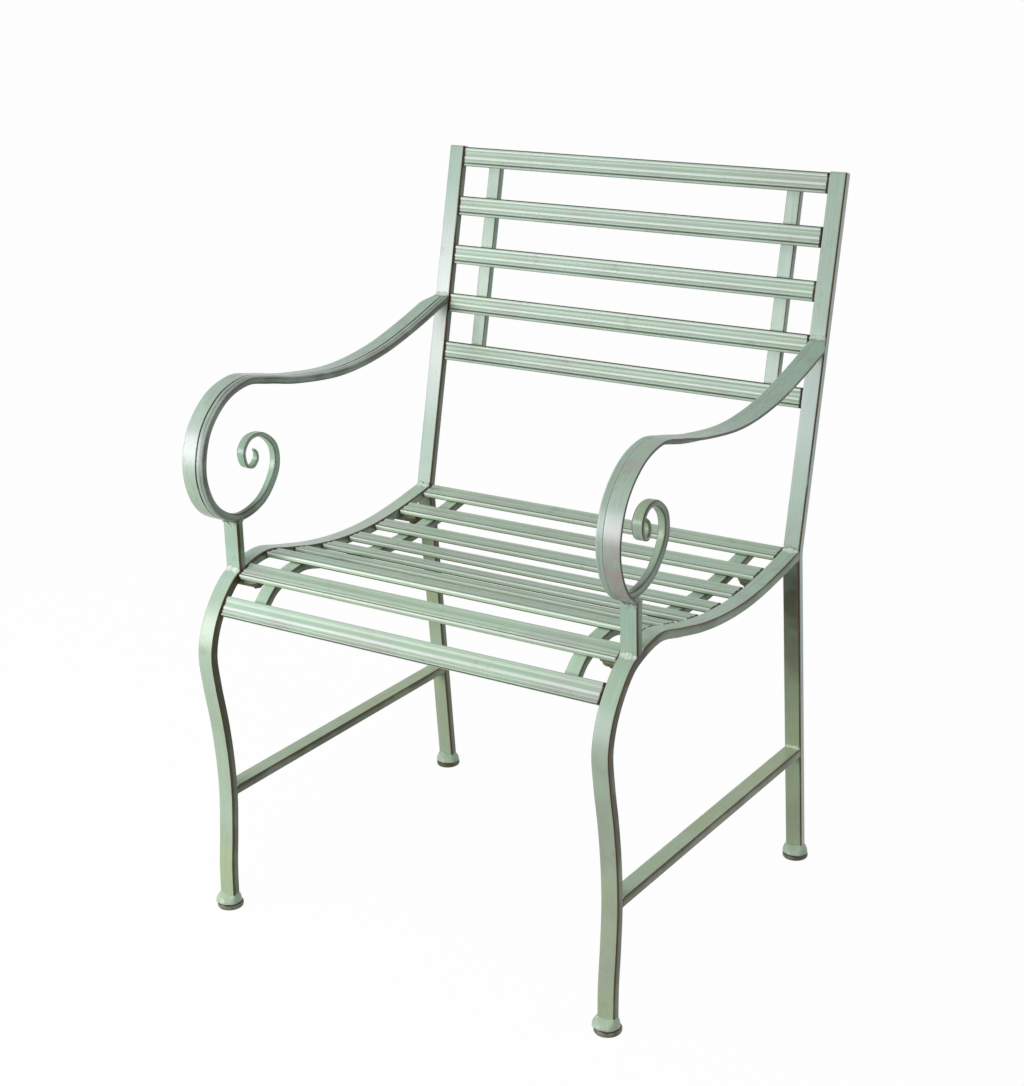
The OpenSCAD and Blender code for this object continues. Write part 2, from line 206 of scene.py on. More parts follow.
def armLine():
    # outer face of the arm, from the post over the crest, round the scroll and into the curl: each point is
    # the foot of the arm, or its end on the post, plus shares of the scroll's height
    behind = [[0.05, 0.015], [-0.45, -0.142], [-0.905, -0.249]]
    scroll = [
        [1.296, 0.834], [0.81, 0.888], [0.485, 0.959], [0.231, 1], [-0.03, 0.923], [-0.237, 0.716],
        [-0.308, 0.414], [-0.207, 0.142], [0.036, 0], [0.32, 0.053], [0.503, 0.249], [0.509, 0.444],
        [0.373, 0.571], [0.225, 0.577], [0.139, 0.491], [0.157, 0.379], [0.231, 0.343],
        [0.287, 0.385], [0.29, 0.444], [0.26, 0.482],
    ]
    knots = [arm["back"] + np.array(p) * arm["scrollH"] for p in behind]
    knots += [arm["foot"] + np.array(p) * arm["scrollH"] for p in scroll]
    return lineThrough(knots)


post, rail, armCurve = postLine(), railLine(), armLine()
print("lines of the side frame: post, rail and arm")


# Surfaces: grids of points, joined into one mesh for each piece

def gridPart(points, around, along, wear, glaze, rub=0.0, dust=0.0, wrapAlong=False):
    # quads between neighbours of a grid (ring, place on the ring), with end faces unless the last ring joins
    # the first; where the volume, a sum of p0 . (p1 x p2) + p0 . (p2 x p3), is negative, all faces turn over
    rings, count = points.shape[:2]
    index = np.arange(rings * count).reshape(rings, count)
    a, b = (index, np.roll(index, -1, axis=0)) if wrapAlong else (index[:-1], index[1:])
    quads = np.stack([a, b, np.roll(b, -1, axis=1), np.roll(a, -1, axis=1)], axis=-1).reshape(-1, 4)
    # texture place of each corner of each quad, so that the seam of a ring keeps its scale
    u = np.broadcast_to(around, (count,))
    uNext = np.append(u[1:], u[-1] + np.linalg.norm(points[0, 0] - points[0, -1]))
    v = np.broadcast_to(along, (rings,))
    vNext = np.append(v[1:], v[-1] + (v[1] - v[0]))[:len(a)]
    vHere = v[:len(a)]
    corners = ((u, vHere), (u, vNext), (uNext, vNext), (uNext, vHere))
    places = np.stack([np.stack(np.meshgrid(*corner), axis=-1) for corner in corners], axis=2)
    places = places.reshape(-1, 4, 2)
    flat = points.reshape(-1, 3)
    p = flat[quads] - flat.mean(axis=0)
    volume = np.einsum("ij,ij->", p[:, 0], np.cross(p[:, 1], p[:, 2]) + np.cross(p[:, 2], p[:, 3]))
    endRings = [] if wrapAlong else [index[0], index[-1][::-1]]
    for ring in endRings:
        q = flat[ring] - flat.mean(axis=0)
        volume += np.einsum("j,ij->", q[0], np.cross(q[1:-1], q[2:]))
    if volume < 0:
        quads, places = quads[:, ::-1], places[:, ::-1]
        endRings = [ring[::-1] for ring in endRings]
    places = [places.reshape(-1, 2)]
    places += [np.stack([u[ring % count], np.full(count, v[ring[0] // count])], axis=1) for ring in endRings]
    part = dict(
        points=flat, loops=np.concatenate([quads.ravel(), *endRings]), places=np.vstack(places),
        sizes=np.append(np.full(len(quads), 4), [count] * len(endRings)).astype(int),
    )
    for key, value in zip(marks, (wear, glaze, rub, dust)):
        part[key] = np.broadcast_to(value, (rings, count)).ravel().copy()
    return part


def makePiece(nodes, parts, paint, shift=0.0, name=None):
    # joins the parts into one smooth-shaded mesh with a texture map and the marks of each point, named as
    # its node is, in camel case; part k's points are numbered from the sum of the counts before it, and
    # shift moves the paint's pattern along the piece
    if name is None:
        first, *others = nodes[0].split("_")
        name = first + "".join(word.title() for word in others)
    offsets = np.cumsum([0] + [len(part["points"]) for part in parts])
    points, places = (np.vstack([part[key] for part in parts]) for key in ("points", "places"))
    loops = np.concatenate([part["loops"] + offset for part, offset in zip(parts, offsets)])
    sizes = np.concatenate([part["sizes"] for part in parts])
    mesh = bpy.data.meshes.new(name)
    mesh.vertices.add(len(points))
    mesh.vertices.foreach_set("co", points.astype(np.float32).ravel())
    mesh.loops.add(len(loops))
    mesh.loops.foreach_set("vertex_index", loops.astype(np.int32))
    mesh.polygons.add(len(sizes))
    mesh.polygons.foreach_set("loop_start", np.concatenate([[0], np.cumsum(sizes)[:-1]]).astype(np.int32))
    mesh.update(calc_edges=True)
    mesh.polygons.foreach_set("use_smooth", sizes == 4)
    layer = mesh.uv_layers.new(name="UVMap")
    layer.data.foreach_set("uv", (places + [0, shift]).astype(np.float32).ravel())
    for key in marks:
        values = np.concatenate([part[key] for part in parts]).astype(np.float32)
        mesh.attributes.new(key, "FLOAT", "POINT").data.foreach_set("value", values)
    mesh.validate()
    mesh.materials.append(paint)
    piece = bpy.data.objects.new(name, mesh)
    bpy.context.scene.collection.objects.link(piece)
    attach(piece, "root")
    if nodes:
        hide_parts(*nodes)


def barSection(width, thick, radii, steps=5):
    # rounded rectangle: across 0..width, deep 0..thick, with an arc at each corner and points on the flats;
    # glaze and shading is side * (0.55 + 0.55 e^-((deep - 1.8 mm) / 1.8 mm)^2), a darker side that is partly
    # painted shade, wear and shade is sin^2 of twice the arc's angle, and the painted highlight lies on the
    # corners beside the front face
    radii = np.broadcast_to(radii, 4)
    centres = (
        (width - radii[0], radii[0], -90), (width - radii[1], thick - radii[1], 0),
        (radii[2], thick - radii[2], 90), (radii[3], radii[3], 180),
    )
    quarter = np.linspace(0, 90, steps)
    arcs = []
    for (x, y, start), radius in zip(centres, radii):
        angle = np.radians(start + quarter)
        arcs.append(np.column_stack([
            x + radius * np.cos(angle), y + radius * np.sin(angle), np.cos(angle), np.sin(angle),
            np.sin(2 * np.radians(quarter)) ** 2,
        ]))
    share = np.array([0.08, 0.2, 0.36, 0.56, 0.78, 0.92])[:, None]
    rows = np.vstack([
        np.vstack([arc, arc[-1] + (following[0] - arc[-1]) * share])
        for arc, following in zip(arcs, arcs[1:] + arcs[:1])
    ])
    deep = rows[:, 1]
    return dict(
        across=rows[:, 0], deep=deep, outX=rows[:, 2], outD=rows[:, 3], wear=rows[:, 4],
        around=runAlong(rows[:, :2]),
        glaze=np.abs(rows[:, 2]) * (0.55 + 0.55 * np.exp(-((deep - 1.8 * mm) / (1.8 * mm)) ** 2)),
        rub=np.clip(-rows[:, 3], 0, 1) * np.clip(np.abs(rows[:, 2]), 0, 0.4) * 2, dust=np.zeros(len(rows)),
    )


def carried(line, section, firstX, sideSign, ends=(0, 0), widths=None, depths=None, cutPlane=None,
            later=None):
    # place = line(s) + left normal * depth in the side view, and across the chair for X;
    # near a rounded end the section shrinks by e(1 - cos f) where it is e(1 - sin f) from the end,
    # and section * (1 - share) + other * share is the section where it turns into another one
    run = runAlong(line)
    f = np.linspace(math.pi / 2, 0, 5)
    low = ends[0] * 1.01 if ends[0] else -1
    high = run[-1] - ends[1] * 1.01 if ends[1] else run[-1] + 1
    stations = run[(run > low) & (run < high)]
    insets = np.zeros(len(stations))
    if ends[0]:
        stations = np.append(ends[0] * (1 - np.sin(f)), stations)
        insets = np.append(ends[0] * (1 - np.cos(f)), insets)
    if ends[1]:
        stations = np.append(stations, run[-1] - ends[1] * (1 - np.sin(f[::-1])))
        insets = np.append(insets, ends[1] * (1 - np.cos(f[::-1])))
    centre, left = (np.stack([np.interp(stations, run, column) for column in field.T], axis=1)
                    for field in (line, leftOf(line)))
    left /= np.linalg.norm(left, axis=1)[:, None]
    widthScale, depthScale = (1 if scale is None else np.interp(stations, run, scale)[:, None]
                              for scale in (widths, depths))
    here = {key: section[key] for key in ("across", "deep", "outX", "outD", *marks)}
    if later is not None:
        share = np.interp(stations, run, later[1])[:, None]
        here = {key: value * (1 - share) + later[0][key] * share for key, value in here.items()}
    x = here["across"] * widthScale - here["outX"] * insets[:, None]
    deep = here["deep"] * depthScale - here["outD"] * insets[:, None]
    points = np.empty((*x.shape, 3))
    points[..., 0] = sideSign * (firstX + x)
    points[..., 1:] = centre[:, None, :] + left[:, None, :] * deep[..., None]
    if cutPlane is not None:
        # what lies beyond the plane slides back along the bar until it is on the plane
        origin, outward = cutPlane
        tangent = np.stack([left[:, 1], -left[:, 0]], axis=1)
        beyond = np.maximum(np.einsum("ijk,k->ij", points[..., 1:] - origin, outward), 0)
        points[..., 1:] -= tangent[:, None, :] * (beyond / (tangent @ outward)[:, None])[..., None]
    part = gridPart(points, section["around"], stations, *(here[key] for key in marks))
    part["along"] = np.repeat(stations, len(section["across"]))
    part["onFace"] = np.tile(section["outD"] < -0.5, len(stations))
    return part


# Shader maths: a socket that +, - and * can be written on

class Reading:
    def __init__(self, graph, socket):
        self.graph, self.socket = graph, socket

    def worked(self, operation, first, second):
        return self.graph.add("ShaderNodeMath", dict(operation=operation), first, second)["Value"]

    def __add__(self, other):
        return self.worked("ADD", self, other)

    def __mul__(self, other):
        return self.worked("MULTIPLY", self, other)

    def __sub__(self, other):
        return self.worked("SUBTRACT", self, other)

    def __rsub__(self, other):
        return self.worked("SUBTRACT", other, self)

    __radd__, __rmul__ = __add__, __mul__

    def clamped(self):
        return self.graph.add("ShaderNodeClamp", {}, self)["Result"]

    def ramp(self, low, high):
        # 0 below low, 1 above high, smooth between
        smooth = dict(interpolation_type="SMOOTHSTEP")
        return self.graph.add("ShaderNodeMapRange", smooth, self, low, high)["Result"]


class Outputs:
    # the outputs of a node, read by name
    def __init__(self, graph, node):
        self.graph, self.node = graph, node

    def __getitem__(self, name):
        return Reading(self.graph, next(s for s in self.node.outputs if s.name == name and s.enabled))


class Graph:
    def __init__(self, owner):
        # owner is a material or a world
        owner.use_nodes = True
        self.tree = owner.node_tree
        self.tree.nodes.clear()

    def add(self, kind, settings, *values, **named):
        # a node of one kind: settings first, then the values or links of its sockets in order or by name
        node = self.tree.nodes.new(kind)
        for key, value in settings.items():
            setattr(node, key, value)
        sockets = [s for s in node.inputs if s.enabled]
        byName = {s.name.replace(" ", ""): s for s in reversed(sockets)}
        pairs = [*zip(sockets, values), *((byName[key], value) for key, value in named.items())]
        for socket, value in pairs:
            if isinstance(value, Reading):
                self.tree.links.new(value.socket, socket)
            else:
                socket.default_value = value
        return Outputs(self, node)

    def mixed(self, first, second, share):
        settings = dict(data_type="RGBA", clamp_factor=True)
        return self.add("ShaderNodeMix", settings, share, first, second)["Result"]

    def noise(self, place, scale, detail=3.0, rough=0.55):
        sizes = dict(Scale=scale, Detail=detail, Roughness=rough)
        return self.add("ShaderNodeTexNoise", {}, Vector=place, **sizes)["Fac"]


def linear(red, green, blue):
    # display values 0..255 to linear light, as (c / 12.92) or ((c + 0.055) / 1.055) ^ 2.4
    shown = np.array([red, green, blue]) / 255
    light = np.where(shown <= 0.04045, shown / 12.92, ((shown + 0.055) / 1.055) ** 2.4)
    return (*light, 1.0)


def sagePaint(name, look, **changes):
    # colour over colour: each covers the ones before it by a share that noise along the bar (streaks), noise
    # in space (clouds, wide, grain) and the marks of the surface give
    look = {**look, **changes}
    colours = {key: linear(*value) for key, value in look.items() if isinstance(value, tuple)}
    material = bpy.data.materials.new(name)
    g = Graph(material)
    uv = g.add("ShaderNodeUVMap", dict(uv_map="UVMap"))["UV"]
    place = g.add("ShaderNodeTexCoord", {})["Object"]
    wear, glaze, rub, dust = (g.add("ShaderNodeAttribute", dict(attribute_name=key))["Fac"] for key in marks)
    grown = (look["streakFine"], look["streakLong"], look["streakFine"])
    stretched = g.add("ShaderNodeMapping", {}, place if look["byPlace"] else uv, Scale=grown)["Vector"]
    streaks = g.noise(stretched, 1.0, 4.0, 0.62)
    clouds = g.noise(place, look["cloudScale"])
    wide = g.noise(place, look["wideScale"], 2.0)
    grain = g.noise(place, look["grainScale"], 2.0)
    high = g.add("ShaderNodeSeparateXYZ", {}, place)["Z"]
    upper = (high + (clouds - 0.5) * 0.1).ramp(0.25, 0.48) * look["lowShare"] + (1 - look["lowShare"])
    unevenly = (streaks * 0.5 + clouds * 0.5).ramp(0.26, 0.46)
    smudges = g.noise(place, look["smudgeScale"], 4.0, 0.7).ramp(0.6, 0.7) * (streaks * 0.6 + 0.3)
    layers = (
        ("body", upper),
        ("cool", wide.ramp(0.48, 0.66) * look["wideShare"]),
        ("warm", (1 - wide).ramp(0.5, 0.66) * look["wideShare"]),
        ("pale", streaks.ramp(0.42, 0.66) * look["paleShare"]),
        ("grey", clouds.ramp(0.45, 0.7) * look["greyShare"]),
        ("grey", (1 - streaks).ramp(0.5, 0.68) * look["streakShare"]),
        ("dust", dust * (clouds.ramp(0.34, 0.6) * 0.7 + streaks.ramp(0.4, 0.62) * 0.5)),
        # glaze and shading paints sides, undersides and slat faces, partly painted light and shade; shine
        # paints the painted highlights
        ("glaze", glaze * look["glazeShare"] * (clouds.ramp(0.35, 0.62) * 0.5 + 0.7)),
        ("shine", rub * look["shineShare"] * (streaks * 0.8 + 0.6)),
        ("line", wear.ramp(0.2, 0.75) * unevenly * look["lineShare"]),
        ("smudge", smudges * look["smudgeShare"]),
        ("line", grain.ramp(0.66, 0.74) * clouds.ramp(0.4, 0.6) * look["speckShare"]),
    )
    colour = colours["low"]
    for key, share in layers:
        colour = g.mixed(colour, colours[key], share)
    rough = look["rough"] + (streaks - 0.5) * 0.25 + wear * 0.08
    height = streaks * 0.6 + grain * 0.25 + clouds * 0.5
    bump = g.add("ShaderNodeBump", {}, Strength=look["bump"], Distance=0.6 * mm, Height=height)["Normal"]
    shader = g.add("ShaderNodeBsdfPrincipled", {}, BaseColor=colour, Roughness=rough, Normal=bump)
    shader.node.inputs["Specular IOR Level"].default_value = look["specular"]
    g.add("ShaderNodeOutputMaterial", {}, shader["BSDF"])
    return material


# glaze and shading: a darker glaze on sides and undersides, partly painted shade; shine: the colour of
# painted highlights
frameLook = dict(
    body=(176, 206, 184), low=(177, 193, 149), pale=(206, 227, 213), grey=(162, 179, 163),
    cool=(180, 208, 202), warm=(176, 197, 160), shine=(230, 240, 232), dust=(166, 162, 150),
    glaze=(66, 66, 28), line=(84, 56, 18), smudge=(124, 116, 86), lowShare=0.9, paleShare=0.15,
    greyShare=0.35, streakShare=0.15, wideShare=0.4, shineShare=0.35, glazeShare=0.95, lineShare=1.0,
    smudgeShare=0.35, speckShare=0.35, byPlace=False, rough=0.3, bump=0.2, specular=0.35,
    # waves of each noise a metre
    streakFine=420, streakLong=14, cloudScale=18, wideScale=6, grainScale=420, smudgeScale=34,
)
armLook = dict(
    frameLook, body=(164, 192, 173), pale=(200, 217, 203), grey=(156, 164, 151), warm=(156, 184, 160),
    cool=(168, 194, 186), glaze=(72, 74, 54), shine=(222, 222, 226), line=(34, 28, 22), lowShare=0.0,
    paleShare=0.2, greyShare=0.5, wideShare=0.25, glazeShare=1.0, shineShare=0.8, streakFine=330,
    streakLong=40, cloudScale=24, bump=0.3, specular=0.5,
)
hardwareLook = dict(
    frameLook, body=(104, 110, 82), pale=(140, 150, 120), grey=(92, 92, 74), lowShare=0.0, streakFine=300,
    streakLong=80, cloudScale=90, rough=0.5, bump=0.4,
)
framePaint = sagePaint("framePaint", frameLook)
# shine: a near-white painted highlight on the left post's front, and a pale teal, painted light, on the
# right post's outer side
postPaints = dict(
    left=sagePaint(
        "leftPostPaint", frameLook, body=(172, 198, 182), glaze=(84, 90, 62), shine=(246, 250, 247),
        shineShare=0.9,
    ),
    right=sagePaint(
        "rightPostPaint", frameLook, body=(172, 200, 188), cool=(172, 196, 194), warm=(174, 196, 172),
        glaze=(74, 74, 36), shine=(208, 226, 220), wideShare=0.6, shineShare=1.0,
    ),
)
armPaints = dict(
    left=sagePaint("leftArmPaint", armLook, dust=(196, 200, 172)),
    right=sagePaint("rightArmPaint", armLook, dust=(174, 164, 156)),
)
scrollPaints = dict(
    left=sagePaint("leftScrollPaint", armLook, dust=(170, 203, 172)),
    right=sagePaint("rightScrollPaint", armLook, dust=(172, 194, 160)),
)
# glaze and shading is a lighter green here: painted light on the slats' front faces
slatPaint = sagePaint(
    "slatPaint", frameLook, body=(168, 199, 172), pale=(200, 217, 201), grey=(174, 173, 164),
    dust=(168, 157, 154), glaze=(186, 214, 172), line=(58, 42, 36), lowShare=0.0, paleShare=0.38,
    greyShare=0.4, streakShare=0.32, wideShare=0.2, glazeShare=0.8, shineShare=0.9, streakFine=900,
    streakLong=5, cloudScale=11, specular=0.5,
)
# lighter than the frame's paint: painted light on straps that lie in the seat's shade
strapPaint = sagePaint(
    "strapPaint", frameLook, body=(182, 212, 186), pale=(222, 236, 222), glaze=(80, 86, 54), lowShare=0.0,
    paleShare=0.3, wideShare=0.2, streakFine=180,
)
# lighter still, with a pale teal on the sides: painted light
backStrapPaint = sagePaint(
    "backStrapPaint", frameLook, body=(192, 216, 198), pale=(230, 238, 230), glaze=(150, 172, 154),
    lowShare=0.0, paleShare=0.4, wideShare=0.3, glazeShare=0.7, streakFine=180,
)
footPaint = sagePaint(
    "footPaint", frameLook, body=(168, 192, 162), pale=(208, 228, 206), grey=(150, 156, 134),
    glaze=(80, 70, 44), line=(70, 42, 32), lowShare=0.0, paleShare=0.25, shineShare=0.3, streakFine=260,
    streakLong=120, cloudScale=60, bump=0.5,
)
hardwarePaint = sagePaint("hardwarePaint", hardwareLook)
blockPaint = sagePaint("blockPaint", hardwareLook, byPlace=True)
# pale streaks and shine stand for the welds' painted highlights
weldPaint = sagePaint(
    "weldPaint", frameLook, body=(180, 202, 180), pale=(228, 238, 228), grey=(150, 160, 144),
    glaze=(80, 72, 48), lowShare=0.6, paleShare=0.8, shineShare=0.7, streakFine=300, streakLong=120,
    cloudScale=80, bump=0.5,
)
print("paints: frame, arms, slats, straps, feet, hardware, blocks and welds")


# Side frames: posts, rails with front legs, stretchers and arm posts

postFine = evenly(post, 4 * mm)
railFine = evenly(rail[rail[:, 0] <= side["postY"] + 3 * mm], 2.5 * mm)
# marks of the paint, painted shade under the seat and painted highlights among them: shares, heights above
# the floor and distances behind the knee, in metres
postMarks = dict(
    lineWidth=1.5 * mm, stain=0.6, stained=(0.18, 0.36, 0.4, 0.43), underBack=(0.44, 0.5),
    left=dict(bleach=0.78, bleached=(0.49, 0.62, 0.68, 0.84), lowStain=0),
    right=dict(bleach=0.75, bleached=(0.5, 0.58, 0.66, 0.7), lowStain=0.18),
)
railMarks = dict(
    leg=dict(back=(0.05, 0.12), high=(0.16, 0.3)), crown=(0.09, 0.16),
    knee=dict(share=0.7, back=(0.03, 0.06), high=(0.34, 0.365, 0.385, 0.41)),
    seat=dict(share=0.9, back=(0.1, 0.16, 0.4, 0.45)), dust=0.4, dusty=(0.3, 0.4),
)


def barPart(line, sign, inset=0.0, ends=(0, 0), cleanSide=False, lineWidth=1.1 * mm):
    # a bar narrower than the post by the inset on each side, so that joined bars share no plane; the dark
    # line on the corner that the light misses is 1.3 e^-(distance / width)^2, the one on the chair's left is
    # 0.6 e^-(distance / 0.9 mm)^2, and a painted lit side has no glaze and shading on its outer side but a
    # painted highlight there, painted light on that side
    width, thick = side["barW"] - 2 * inset, side["barT"]
    section = barSection(width, thick, side["corner"])
    fromRight = width - section["across"] if sign > 0 else section["across"]
    strong = 1.3 * np.exp(-(fromRight**2 + section["deep"] ** 2) / lineWidth**2)
    faint = 0.6 * np.exp(-((width - fromRight) / (0.9 * mm)) ** 2)
    inFront = section["deep"] < thick / 2
    section["wear"] = np.where(inFront, np.maximum(strong, faint), section["wear"] * 0.15)
    # painted light: the outer side takes the pale shine colour in place of glaze and shading
    if cleanSide:
        outer = np.clip(section["outX"] * 2 - 0.8, 0, 1)
        section["glaze"] *= 1 - outer
        section["rub"] = section["rub"] * 0.3 * (1 - outer) + outer * (section["deep"] > 2 * mm)
    return carried(line, section, side["innerX"] + inset, sign, ends=ends)


def postPart(sideName, sign):
    # glaze and shading + stain * zone, painted shade just below the seat, + lowStain, painted shade
    # below the back, and a painted highlight on the front, bleach * zone halfway up the back
    part = barPart(postFine, sign, ends=(1.6 * mm, 0), cleanSide=True, lineWidth=postMarks["lineWidth"])
    z, own = part["points"][:, 2], postMarks[sideName]
    # painted shade just below the seat, and on the right post's front below the back
    part["glaze"] += postMarks["stain"] * (1 - part["rub"]) * zone(z, *postMarks["stained"])
    part["glaze"] += own["lowStain"] * (1 - rise(z, *postMarks["underBack"])) * part["onFace"]
    # painted highlight on the front, halfway up the back
    part["rub"] = np.maximum(part["rub"], own["bleach"] * zone(z, *own["bleached"]) * part["onFace"])
    return part


def legRailPart(sign):
    # glaze and shading * (1 on the leg to 0.7 under the seat, + 0.9 on the upper leg); the left bar's front
    # has a painted highlight of share * zone at the knee and along the seat, and the right leg has
    # dust * (1 - rise with height)
    part = barPart(railFine, sign, inset=0.1 * mm)
    back, z = part["points"][:, 1] - side["kneeY"], part["points"][:, 2]
    leg, knee, seat = railMarks["leg"], railMarks["knee"], railMarks["seat"]
    upperLeg = (1 - rise(back, *leg["back"])) * rise(z, *leg["high"])
    part["glaze"] *= 0.7 + 0.3 * (1 - rise(back, *railMarks["crown"])) + 0.9 * upperLeg
    # painted highlight on the left bar's front at the knee and along the seat
    worn = knee["share"] * zone(z, *knee["high"]) * (1 - rise(back, *knee["back"]))
    worn = np.maximum(worn, seat["share"] * zone(back, *seat["back"]))
    part["rub"] = np.maximum(part["rub"], worn * part["onFace"] * (sign < 0))
    part["dust"] = railMarks["dust"] * (1 - rise(z, *railMarks["dusty"])) * (sign > 0)
    return part


for sideName, sign in sides:
    makePiece([sideName + "_back_post"], [postPart(sideName, sign)], postPaints[sideName],
              shift=moved["post"] * sign)
    makePiece([sideName + "_front_leg_rail"], [legRailPart(sign)], framePaint,
              shift=moved["rail"] * sign)

stretcher = dict(
    frontY=side["kneeY"] + side["legHollow"] + side["barT"] - 2 * mm,
    backY=side["postY"] + (side["bendZ"] - side["stretcherTop"]) * math.tan(side["legSplay"]) + 2 * mm,
)
stretcherLine = evenly(np.array([
    [stretcher["backY"], side["stretcherTop"]], [stretcher["frontY"], side["stretcherTop"]],
]), 6 * mm)
armPost = dict(low=rightLeg[1].z - 18 * mm, high=arm["foot"][1] + 1.5 * mm, frontY=arm["foot"][0])
armPostLine = evenly(np.array([
    [armPost["frontY"], armPost["high"]], [armPost["frontY"], armPost["low"]],
]), 4 * mm)
for sideName, sign in sides:
    makePiece([sideName + "_stretcher"], [barPart(stretcherLine, sign, inset=0.2 * mm)], framePaint,
              shift=moved["stretcher"] * sign)
    makePiece([sideName + "_arm_post"], [barPart(armPostLine, sign, inset=0.2 * mm)], framePaint,
              shift=moved["armPost"] * sign)
print("side frames")


# Arms: the scroll bar thins and narrows into the curl, the strip lies beside it

# one number for each knot of the arm's line, as a share of the bar's size
scroll = dict(
    depth=[1] * 12 + [1.05, 1.02, 0.94, 0.74, 0.62, 0.56, 0.53, 0.5, 0.46, 0.42, 0.38],
    left=[1] * 12 + [1.03, 1.05, 1.08, 1.14, 1.2, 1.24, 1.18, 1.05, 0.88, 0.72, 0.55],
    right=[1] * 12 + [1.03, 1.08, 1.15, 1.28, 1.42, 1.5, 1.42, 1.3, 1.1, 0.95, 0.8],
    thin=dict(left=0.72, right=1.0), curlGlaze=dict(left=0.3, right=0.9), seam=dict(left=1.6, right=0.4),
    top=dict(left=0.85, right=0.1), tubeCorners=(0.8 * mm, 2.6 * mm, 3.2 * mm, 3.0 * mm),
    curlCorners=(1.5 * mm, 2.2 * mm, 2.2 * mm, 1.8 * mm), curlFrom=(11, 13), greenFrom=(11.5, 13.5),
    thinFrom=(13, 16), green=1.2,
)
# dust, and shine that is a painted highlight, along the strip, at these knots of the arm's line
strip = dict(
    narrow=0.52, over=30 * mm, knots=[0, 4, 5.5, 6.8, 7.4, 8.1, 8.5, 8.8, 9.2, 9.6, 10.6, 11],
    left=dict(dust=[0, 0, 0.1, 0.1, 0.1, 0.1, 0.1, 0.4, 0.7, 0.8, 0.9, 0.8],
              shine=[0, 0, 0, 0, 0, 0.5, 0.6, 0.1, 0, 0, 0, 0]),
    right=dict(dust=[0, 0, 0.5, 0.6, 0.1, 0, 0.2, 0.6, 1, 1, 1, 0.6],
               shine=[0, 0, 0, 0, 0, 0.3, 0.8, 0.1, 0, 0, 0, 0]),
)
tubeShape = barSection(arm["scrollW"], arm["scrollT"], scroll["tubeCorners"], steps=8)
inward = tubeShape["across"] < arm["scrollW"] / 2
onTop = tubeShape["deep"] < arm["scrollT"] / 2
underneath = tubeShape["deep"] > 0.8 * arm["scrollT"]
# painted shade: a dark line along the seam between the scroll bar and the strip
tubeSeam = onTop * np.exp(-((tubeShape["across"] - arm["scrollW"]) / mm) ** 2)
tubeDark = onTop * np.exp(-((tubeShape["across"] - 2.5 * mm) / (3 * mm)) ** 2)
# painted shade on the bar's underside and on its inward side, which faces the seat
tubeShape["wear"] *= np.where(onTop, 0.1, np.where(inward, 0.7, 0.6))
tubeShape["glaze"] = np.maximum(tubeShape["glaze"] * np.where(inward, 0.9, 0.45), underneath * 0.8)
curlShape = barSection(arm["scrollW"], arm["scrollT"], scroll["curlCorners"], steps=8)
curlShape["wear"] *= np.where(onTop, 0.75, 0.6)
stripShape = barSection(arm["stripW"], arm["stripT"], [0.9 * mm, 0.9 * mm, 0.4 * mm, 0.4 * mm])
# painted shade along the strip's edge at the seam
stripSeam = np.exp(-(stripShape["across"] / (0.8 * mm)) ** 2) * (stripShape["deep"] < arm["stripT"] / 2)
stripShape["wear"] *= stripShape["across"] > arm["stripW"] / 2

# the strip starts on the front of the post: a point of that plane and its normal
postFace = (
    np.array([side["postY"], side["bendZ"]]),
    np.array([math.cos(side["backLean"]), -math.sin(side["backLean"])]),
)
armRun = runAlong(armCurve)
knotPlace = np.arange(len(armCurve)) / knotSteps
scrollLine = evenly(armCurve, 1.5 * mm)
scrollKnots = np.interp(np.linspace(0, armRun[-1], len(scrollLine)), armRun, knotPlace)
free = (armCurve - postFace[0]) @ postFace[1] < 3 * mm
stripFrom = int(np.argmax(free))
stripLine = evenly(armCurve[free & (knotPlace <= arm["stripKnots"])], 2 * mm)
stripRun = runAlong(stripLine)


def armScrollPart(sideName, sign):
    # width and depth are the bar's times the shares at each knot, thinner by (1 - thin) in the curl, and the
    # dust that turns the curl green rises between two knots
    own = {key: scroll[key][sideName] for key in ("thin", "curlGlaze", "seam", "top")}
    widths = np.interp(scrollKnots, np.arange(len(scroll[sideName])), scroll[sideName])
    depths = np.interp(scrollKnots, np.arange(len(scroll["depth"])), scroll["depth"])
    depths *= 1 - (1 - own["thin"]) * rise(scrollKnots, *scroll["thinFrom"])
    tube = dict(tubeShape, wear=np.maximum(tubeShape["wear"], own["seam"] * tubeSeam),
                glaze=np.maximum(tubeShape["glaze"], own["top"] * tubeDark))
    curl = dict(curlShape, glaze=curlShape["glaze"] * own["curlGlaze"])
    part = carried(scrollLine, tube, arm["scrollX"], sign, ends=(0, 1.2 * mm), widths=widths, depths=depths,
                   later=(curl, rise(scrollKnots, *scroll["curlFrom"])))
    green = scroll["green"] * rise(scrollKnots, *scroll["greenFrom"])
    part["dust"] = np.interp(part["along"], runAlong(scrollLine), green)
    return part


